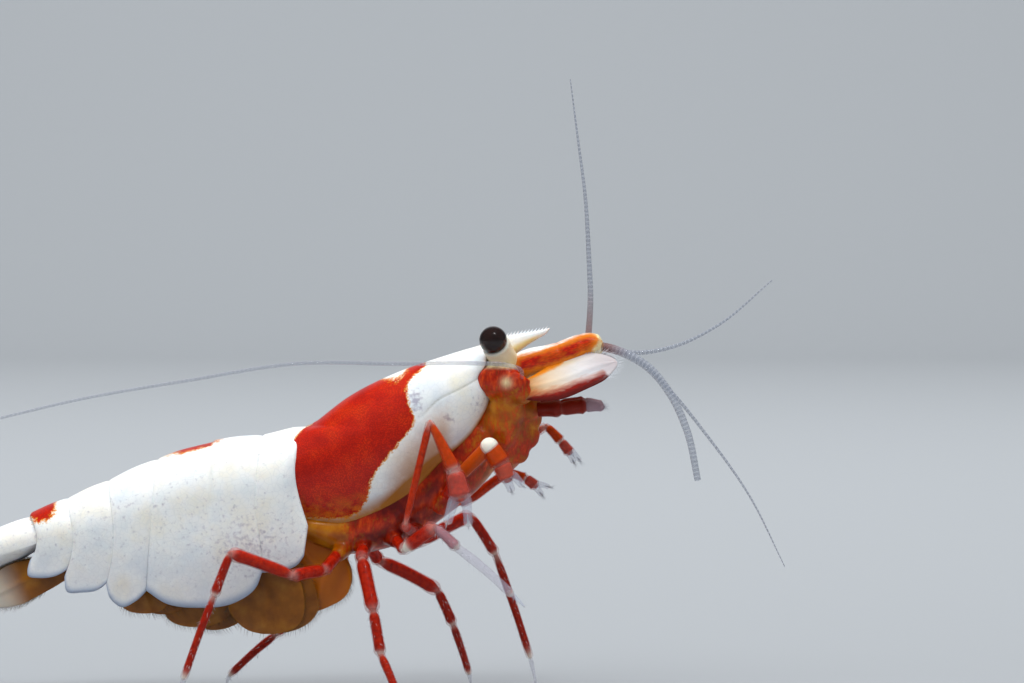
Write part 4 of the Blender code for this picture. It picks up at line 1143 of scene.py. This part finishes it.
def feeler(node):
    """A tapering whip of rings: radius = (root to tip) (1 + 0.03 towards each ring's far edge)."""
    points, root, tip, rust, finish = FEELERS[node]
    dense = through(points, np.linspace(0, 1, 400))
    length = np.linalg.norm(np.diff(dense, axis=0), axis=1).sum()
    t = np.linspace(0, 1, int(length / RING_GAP) * STEPS_PER_RING)
    ring = (t * length / RING_GAP) % 1.0
    radius = root + (tip - root) * t
    radius = radius * (1 + 0.03 * ease(0.3, 0.85, ring) * (1 - ease(0.85, 1.0, ring)))
    radius = radius * np.sqrt(np.clip((1.0 - t) / 0.004, 0.05, 1))
    values = {"ring": bump(ring, 0.80, 0.16), "rust": rust * (1 - ease(0.0, 0.24, t))}
    piece(node + "_whip", tube(through(points, t), radius, 10, values=values), finish, "feeler", node)


# ---------------------------------------------------------------- limbs
def segment(start, end, first, last, bow, values, waist=0.0):
    """One limb segment: centre = start + (end - start) t + bow sin(pi t) upwards.  Its radius goes evenly
    from first to last, rounds off like a ball at both ends and flares a little before the far joint.  Muscle
    has a waist at each joint, where clear cuticle alone is left.  A value may be a function of t."""
    rings, sides, flatten, least_radius = 40, 20, 0.92, 0.008
    start, end = np.asarray(start, float), np.asarray(end, float)
    length = np.linalg.norm(end - start)
    lead, tail = 0.55 * first / length, 0.45 * last / length
    t = np.linspace(-lead, 1 + tail, rings)
    arch = np.array([0, 0, bow]) * np.sin(math.pi * t.clip(0, 1))[:, None]
    path = start + (end - start) * t[:, None] + arch
    radius = first + (last - first) * t.clip(0, 1)
    radius = radius * (1 + 0.10 * bump(t, 0.90, 0.10) - 0.13 * bump(t, 0.06, 0.10))
    radius = radius * (1 - waist * (bump(t, 0, 0.09) + bump(t, 1, 0.09)))
    from_end = np.minimum((t + lead) * length / max(first, 0.02), (1 + tail - t) * length / max(last, 0.02))
    radius = radius * np.sqrt(np.clip(1 - (1 - from_end.clip(0, 1)) ** 2, 0.002, 1))
    along = {key: value(t) if callable(value) else value for key, value in values.items()}
    return tube(path, np.maximum(radius, least_radius), sides, flatten, along)


def end_mark(strength, near, wide):
    """A white mark round a segment's far joint, and another of its own strength round the near one."""
    return lambda t: strength * bump(t, 1.0, wide) + near * bump(t, 0.02, wide * 0.9)


NO_MUSCLE = 0.75        # a segment clearer than this shows no muscle inside
SHIN_BROWN = 0.45       # how far a walking leg darkens by its fourth segment
PLAIN_JOINT, CUFF = (0.3, 0.06), (2.2, 0.15)    # the white at a segment's near joint: its strength and reach
ARCH_FALLING, ARCH_RISING = 0.025, 0.0125       # how far a segment arches upwards, as a share of its length


def limb(node, joints, sizes, clears, whites, fingers=(), balls=(), cuff=None, ambers=None, brown=0.0):
    """A jointed limb in two pieces: red muscle, and clear cuticle round it.  sizes gives each segment's two
    radii; clears how colourless each segment is; whites how white its far joint is; fingers are extra
    segments at a claw; balls are (joint, radius) white knobs; cuff is a segment with a white near end; ambers
    says how orange a segment is; and brown is how brown the whole limb is.
    Returns the two ends of the last segment and of each finger."""
    side = -1 if node.endswith("right") else 1
    joints = np.array(joints, float) * (1, side, 1)
    rows = list(zip(joints[:-1], joints[1:], sizes, clears, whites))
    rows += [(np.array(start) * (1, side, 1), np.array(end) * (1, side, 1), radii, 0.95, 0.9)
             for start, end, radii in fingers]
    fill = 0.85 + 0.12 * brown      # the muscle's share of the cuticle's width
    core, coat = [], []
    for k, (start, end, (first, last), clear, white) in enumerate(rows):
        bow = np.linalg.norm(end - start) * (ARCH_FALLING if end[2] < start[2] else ARCH_RISING)
        near, wide = PLAIN_JOINT
        near = near * (1 - brown)
        if k == cuff:
            near, wide = CUFF
        values = {
            "clear": clear,
            "joint": end_mark(white, near, wide),
            "amber": (ambers or {}).get(k, 0.0),
            "brown": max(brown, 0.0 if fingers else SHIN_BROWN * min(k, 3) / 3),
        }
        coat.append(segment(start, end, first, last, bow, values))
        if clear < NO_MUSCLE:
            waist = 0.42 * (1 - brown)
            core.append(segment(start, end, first * fill, last * fill, bow, values, waist))
    for k, radius in balls:
        knob = ball(joints[k], radius, 24, 32)
        knob.values = {"joint": np.ones(len(knob.points))}
        core.append(knob)
    piece(node + "_muscle", joined(core), MUSCLE_FINISH, "limb", node)
    piece(node + "_cuticle", joined(coat), LIMB_FINISH, "limb")
    return [row[:2] for row in rows[len(sizes) - 1:]]


def brush(ends, count, reach, width, fan):
    """Hairs that fan from the last third of each finger, mostly forwards."""
    starts = []
    for k, (start, end) in enumerate(ends):
        share = RNG.uniform(0.60, 1.0, count)
        root = start + (end - start) * share[:, None]
        way = unit(unit(end - start) * RNG.uniform(0.7, 1.2, (count, 1)) + RNG.normal(0, fan, (count, 3)))
        place = np.column_stack([0.1 + 0.2 * k + 0.1 * share, RNG.uniform(0.1, 0.9, count)])
        starts.append((root, way, place))
    return hair_row(starts, reach, width)


# Joints of each leg from its root to its claw, with y outwards from the midline.
LEG_JOINTS = {
    "leg_3_right": [(3.70, 1.10, 6.35), (4.10, 1.95, 6.02), (5.30, 2.55, 6.94), (6.16, 2.75, 6.16),
                    (8.27, 2.95, 4.37), (8.76, 3.00, 3.90)],
    "leg_4_right": [(2.50, 1.10, 6.00), (2.46, 1.90, 5.70), (2.94, 2.90, 3.76), (3.24, 3.30, 2.12),
                    (4.05, 4.80, 0.42), (4.16, 5.00, 0.03)],
    "leg_5_right": [(1.62, 1.10, 5.86), (1.05, 2.10, 5.22), (-0.10, 2.86, 5.08), (-2.50, 3.20, 5.98),
                    (-3.12, 3.30, 4.37), (-4.28, 3.60, 1.20), (-4.46, 3.66, 0.03)],
    "leg_3_left": [(3.70, 1.10, 6.35), (4.60, 2.20, 5.95), (6.60, 3.10, 6.95), (7.60, 3.25, 5.40),
                   (9.00, 3.60, 1.20), (9.25, 3.66, 0.03)],
    "leg_4_left": [(2.50, 1.10, 6.00), (3.00, 2.00, 5.25), (5.30, 2.95, 3.98), (5.90, 3.30, 2.60),
                   (6.55, 4.20, 0.50), (6.62, 4.30, 0.03)],
    "leg_5_left": [(1.62, 1.10, 5.86), (1.55, 2.30, 4.90), (-0.27, 3.10, 3.10), (-1.10, 3.50, 2.20),
                   (-3.05, 4.05, 0.45), (-3.20, 4.10, 0.03)],
    "leg_2_right": [(4.50, 1.10, 6.60), (4.15, 2.35, 6.95), (5.12, 2.62, 11.00), (6.05, 2.80, 9.10),
                    (6.30, 2.85, 8.10)],
    "leg_1_right": [(5.60, 1.05, 7.80), (6.10, 1.60, 8.70), (7.40, 2.15, 10.00), (7.85, 2.20, 9.35),
                    (8.10, 2.22, 8.75)],
    "leg_2_left": [(4.80, 1.10, 6.90), (6.00, 2.20, 8.40), (9.62, 2.30, 10.55), (10.20, 2.30, 9.95),
                   (10.55, 2.30, 9.50)],
    "leg_1_left": [(5.60, 1.05, 7.80), (6.50, 1.60, 7.60), (8.10, 2.00, 8.75), (8.80, 2.00, 8.50),
                   (9.20, 1.98, 8.20)],
}
# The radii of each segment at its near and far joints.
PLAIN_LEG = [(0.27, 0.29), (0.29, 0.28), (0.21, 0.22), (0.19, 0.15), (0.11, 0.03)]
LEG_SIZES = {
    "leg_3_right": [(0.26, 0.26), (0.30, 0.30), (0.19, 0.23), (0.20, 0.16), (0.12, 0.03)],
    "leg_4_right": [(0.28, 0.30), (0.33, 0.30), (0.24, 0.24), (0.20, 0.16), (0.11, 0.03)],
    "leg_5_right": [(0.27, 0.26), (0.27, 0.26), (0.25, 0.27), (0.18, 0.20), (0.17, 0.15), (0.12, 0.03)],
    "leg_2_right": [(0.26, 0.22), (0.15, 0.15), (0.14, 0.32), (0.38, 0.46)],
    "leg_1_right": [(0.26, 0.24), (0.28, 0.34), (0.42, 0.43), (0.43, 0.34)],
    "leg_2_left": [(0.26, 0.22), (0.20, 0.19), (0.17, 0.22), (0.20, 0.24)],
    "leg_1_left": [(0.26, 0.22), (0.22, 0.20), (0.16, 0.22), (0.22, 0.24)],
}
# Each finger's two ends and its two radii.
CLAW_FINGERS = {
    "leg_2_right": [((6.12, 2.85, 8.20), (5.78, 2.88, 7.12), (0.24, 0.17)),
                    ((6.50, 2.85, 8.18), (6.60, 2.92, 7.02), (0.23, 0.16))],
    "leg_1_right": [((8.02, 2.22, 8.86), (8.26, 2.20, 8.28), (0.22, 0.14)),
                    ((8.26, 2.22, 8.96), (8.68, 2.20, 8.50), (0.19, 0.13))],
    "leg_2_left": [((10.50, 2.30, 9.55), (10.72, 2.28, 9.10), (0.17, 0.10)),
                   ((10.58, 2.30, 9.62), (10.96, 2.34, 9.18), (0.15, 0.09))],
    "leg_1_left": [((9.16, 1.98, 8.22), (9.45, 1.95, 7.84), (0.17, 0.10)),
                   ((9.22, 1.98, 8.28), (9.75, 2.00, 8.16), (0.15, 0.09))],
}


def walking_legs():
    """Three pairs that taper from a thick red thigh to a clear claw.  The right third leg is clear from its
    middle on, and has a white cuff."""
    for name, joints in LEG_JOINTS.items():
        if name in CLAW_FINGERS:
            continue
        sizes = LEG_SIZES.get(name, PLAIN_LEG)
        before_claw = len(sizes) - 1
        clears, cuff = [0.0] * before_claw + [0.9], None
        if name == "leg_3_right":
            clears, cuff = [0.0, 0.0, 0.45, 0.85, 1.0], 1
        whites = [0.2] * (len(sizes) - 3) + [0.7, 0.9, 0.9]
        limb(name, joints, sizes, clears, whites, cuff=cuff)
        piece(name + "_bristles", leg_bristles(name, sizes), BRISTLE_FINISH, "limb")


def leg_bristles(name, sizes):
    """Short stiff hairs that lean forward along a walking leg's last three segments, clear of the floor."""
    side = -1 if name.endswith("right") else 1
    joints = np.array(LEG_JOINTS[name], float) * (1, side, 1)
    last = len(sizes) - 1
    floor_gap = 0.30
    starts = []
    for k, count in ((last - 2, 26), (last - 1, 44), (last, 16)):
        ahead = unit(joints[k + 1] - joints[k])
        out = RNG.normal(0, 1, (count, 3))
        out = unit(out - ahead * (out @ ahead)[:, None])
        share = RNG.uniform(0.08, 0.92, count)
        thick = sizes[k][0] + (sizes[k][1] - sizes[k][0]) * share
        root = joints[k] + (joints[k + 1] - joints[k]) * share[:, None] + out * 0.9 * thick[:, None]
        way = unit(out * 0.8 + ahead * 0.7)
        place = np.column_stack([0.2 * (k + share) / last, RNG.uniform(0.1, 0.9, count)])
        clear = root[:, 2] > floor_gap
        starts.append((root[clear], way[clear], place[clear]))
    return hair_row(starts, 1.0, 0.022, least=0.12, most=0.22)


def clawed_legs():
    """Two pairs held up in front, each with a cupped wrist, a palm and two clear fingers with a brush.  The
    right first leg is raised, more orange, and has a white knob for its elbow."""
    for name, fingers in CLAW_FINGERS.items():
        elbow_white, knobs, ambers = 0.9, [], {1: 0.15, 2: 0.35, 3: 0.2}
        if name == "leg_1_right":
            elbow_white, knobs, ambers = 0.1, [(2, 0.36)], {1: 0.65, 2: 0.45, 3: 0.35}
        ends = limb(name, LEG_JOINTS[name], LEG_SIZES[name], [0.0, 0.0, 0.0, 0.08],
                    [0.2, 0.4, elbow_white, 0.2], fingers, knobs, ambers=ambers)
        piece(name + "_brush", brush(ends[1:], 46, 0.34, 0.016, 0.22), BRISTLE_FINISH, "limb")


def maxillipeds():
    """The outer mouth limbs: stout, dark red, with a clear hairy end."""
    for _, word in SIDES:
        joints = [(8.60, 0.36, 11.28), (10.15, 0.98, 11.40), (11.10, 0.92, 11.51), (11.80, 0.86, 11.46)]
        ends = limb("maxilliped_" + word, joints, [(0.28, 0.31), (0.29, 0.29), (0.27, 0.16)],
                    [0.0, 0.0, 0.5], [0.0, 0.0, 0.0], brown=0.85)
        piece("maxilliped_brush_" + word, brush(ends, 90, 0.42, 0.018, 0.35), BRISTLE_FINISH, "limb")


# ---------------------------------------------------------------- tail fan and swimmerets
def tail_leaf(node, spine, widths, across):
    """A white leaf with a rib, and a fringe of long hairs round its end."""
    parts = leaf(spine, widths, across, 0.10)
    rings = parts[0]
    share, place = leaf_grid(rings)
    blade = closed_rings(rings, {
        "red": -1.0,
        "warm": 0.15,
        "sheer": 0.75 * ease(0.80, 1.0, np.abs(place)) + 0.7 * ease(0.82, 1.0, share),
        "line": 0.35 * bump(place, 0, 0.05) * (1 - ease(0.8, 0.95, share)),
        "speckle": 0.15,
    })
    piece(node + "_blade", blade, SHELL_FINISH, "body_shell", node)
    piece(node + "_fringe", fringe(parts, 0.35, 0.40, 20, 0.026, 0.75), BRISTLE_FINISH, "body_shell")


def tail_fan():
    """A telson on the midline, and two uropods on each side spread beside and below it."""
    tail_leaf("telson", [(-13.20, 0, 5.72), (-16.20, 0, 4.22), (-18.10, 0, 3.10)], [0.40, 0.70, 0.50, 0.26],
              (0, 1, 0))
    for side, word in SIDES:
        tail_leaf("uropod_inner_" + word,
                  [(-13.50, side * 0.46, 4.92), (-14.60, side * 1.02, 4.46), (-16.40, side * 1.62, 3.56),
                   (-18.46, side * 2.05, 2.60)],
                  [0.34, 0.44, 0.60, 0.66, 0.30], (0, 1, side * 0.12))
        tail_leaf("uropod_outer_" + word,
                  [(-13.50, side * 0.50, 4.72), (-14.40, side * 1.20, 4.02), (-16.10, side * 2.44, 2.92),
                   (-17.98, side * 3.50, 2.04)],
                  [0.34, 0.44, 0.68, 0.78, 0.36], (0.3 * side, 1, side * 0.22))


# For each pair: x and z down the middle, half-lengths along the body at even steps, how far the blade's end
# slopes up from rear to front, its distance from the midline, and how far forward the smaller blade ends.
SWIMMERETS = [
    ([(-0.15, 6.70), (0.05, 6.00), (0.85, 5.00), (0.55, 3.46)],
     [0.45, 0.60, 1.15, 0.95], 0.45, 0.60, -0.75),
    ([(-1.95, 6.48), (-1.60, 5.20), (-1.25, 3.90), (-1.42, 2.68)],
     [0.80, 1.28, 1.48, 1.40], 0.06, 1.22, 0.95),
    ([(-4.25, 6.20), (-4.10, 5.00), (-3.85, 3.80), (-3.55, 2.92)],
     [0.80, 1.18, 1.48, 1.34], -0.20, 0.60, 1.05),
    ([(-6.35, 5.90), (-6.20, 5.00), (-6.00, 4.20), (-5.65, 3.48)],
     [0.55, 0.85, 1.03, 0.98], -0.30, 1.10, 0.90),
    ([(-8.75, 5.55), (-9.90, 4.98), (-11.00, 4.56), (-12.35, 3.80)],
     [0.50, 0.66, 0.80, 0.56], 0.0, 0.55, -0.30),
]


def swimmeret(number, side, word):
    """A soft amber blade that hangs from the belly with a smaller one beside it, both hair-edged."""
    line, widths, slope, offset, forward = SWIMMERETS[number - 1]
    shapes, hair = [], []
    for scale, shift, inward in ((1.0, 0.0, 0.0), (0.90, forward, 0.28)):
        y = side * max(offset - inward, 0.30)
        spine = [(x + shift * k / 3, y, z + 0.3 * (1 - scale)) for k, (x, z) in enumerate(line)]
        rings, path, half, across, ahead = leaf(spine, [w * scale for w in widths], (1, 0, 0), 0.07, rib=0.9,
                                                rounding=0.24 if number < 5 else 0.4)
        share, place = leaf_grid(rings)
        wide = (half / half.max())[:, None]
        rings[..., 2] += slope * place * wide * share ** 2
        across = across + np.array([0, 0, 1]) * slope * share ** 2 / half.max()
        shapes.append(closed_rings(rings, {
            "pale": 0.7 * ease(0.50, 0.85, share) if number == 5 else 0.0,
            "blush": 0.95 * (1 - 0.35 * share) if number == 1 else 0.15,
        }))
        hair.append(fringe((rings, path, half, across, ahead), 0.40, 0.30, 30, 0.020, 0.9))
    node = f"pleopod_{number}_{word}"
    piece(node + "_blades", joined(shapes), SWIMMERET_FINISH, "swimmeret", node)
    piece(node + "_fringe", joined(hair), AMBER_BRISTLE_FINISH, "swimmeret")


# ---------------------------------------------------------------- the whole animal
carapace()
for number in range(1, 7):
    abdomen_segment(number)
flesh_skin()
rostrum()
for side, word in SIDES:
    eye(side, word)
    antennule(side, word)
    antennal_scale(side, word)
    for number in range(1, 6):
        swimmeret(number, side, word)
walking_legs()
clawed_legs()
maxillipeds()
tail_fan()
for node in FEELERS:
    feeler(node)


# ---------------------------------------------------------------- floor, light and camera
def backdrop():
    """A pale floor that curves up into a wall well behind the animal: a quarter circle between two planes.
    All in metres."""
    front, back, bend, wide, tall = -1.0, 0.34, 0.16, 1.6, 1.2
    a = np.linspace(0, math.pi / 2, 24)
    y = np.concatenate([[front], back + bend * np.sin(a), [back + bend]])[:, None]
    z = np.concatenate([[0.0], bend * (1 - np.cos(a)), [tall]])[:, None]
    x = np.array([[-wide, wide]])
    points = np.stack(np.broadcast_arrays(x, y, z), axis=-1).reshape(-1, 3)
    mesh = bpy.data.meshes.new("backdrop")
    mesh.from_pydata(points.tolist(), [], grid_quads(len(y), 2)[:, ::-1].tolist())
    mesh.polygons.foreach_set("use_smooth", np.ones(len(mesh.polygons), bool))
    # Matt grey paper: no gloss, so the light falls off evenly and nothing mirrors in it.
    paper = dressed(new_finish("matt_paper")[0], {"Base Color": linear("#9A9EA2"), "Roughness": 0.95})
    mesh.materials.append(paper)
    sweep = bpy.data.objects.new("backdrop", mesh)
    bpy.context.scene.collection.objects.link(sweep)


def softbox(name, place, size, power, target, glints=False):
    """A square area light that faces a point, with power in watts.  Only one that glints shows in a
    reflection."""
    lamp = bpy.data.lights.new(name, "AREA")
    lamp.size, lamp.energy = size, power
    made = bpy.data.objects.new(name, lamp)
    bpy.context.scene.collection.objects.link(made)
    made.location = place
    made.visible_glossy = glints
    direction = target - made.location
    made.rotation_euler = direction.to_track_quat("-Z", "Y").to_euler()


def camera(target):
    """A long lens almost level with the animal, looking along +Y: 2 degrees above it and 40 mm wide there."""
    distance, rise, frame_width, sensor = 0.160, math.radians(2), 0.0399, 36.0
    lens = bpy.data.cameras.new("camera")
    lens.sensor_width = sensor
    lens.lens = sensor * distance / frame_width
    lens.clip_start, lens.clip_end = 0.001, 10
    made = bpy.data.objects.new("camera", lens)
    bpy.context.scene.collection.objects.link(made)
    made.location = target + mathutils.Vector((0, -math.cos(rise), math.sin(rise))) * distance
    made.rotation_euler = (math.pi / 2 - rise, 0, 0)
    bpy.context.scene.camera = made


def room(colour, strength):
    """Even light from all round."""
    world = bpy.data.worlds.new("room")
    world.use_nodes = True
    sky = world.node_tree.nodes["Background"]
    sky.inputs["Color"].default_value = linear(colour)
    sky.inputs["Strength"].default_value = strength
    bpy.context.scene.world = world


backdrop()
AIM = mathutils.Vector(put_in_frame(np.array([8.268, 0.0, 13.98])))     # what the camera and most lamps face
WALL = mathutils.Vector((0.0, 0.50, 0.10))
softbox("key", (-0.08, -0.14, 0.28), 0.28, 0.74, AIM)
softbox("glint", (0.06, -0.14, 0.26), 0.035, 0.10, AIM, glints=True)
softbox("fill", (0.22, -0.22, 0.04), 0.24, 0.15, AIM)
softbox("top", (0.04, 0.06, 0.30), 0.24, 0.25, AIM)
softbox("wall", (0.0, 0.12, 0.42), 0.30, 2.5, WALL)
camera(AIM)
room("#D5DAE0", 0.36)
bpy.context.scene.view_settings.view_transform = "Standard"
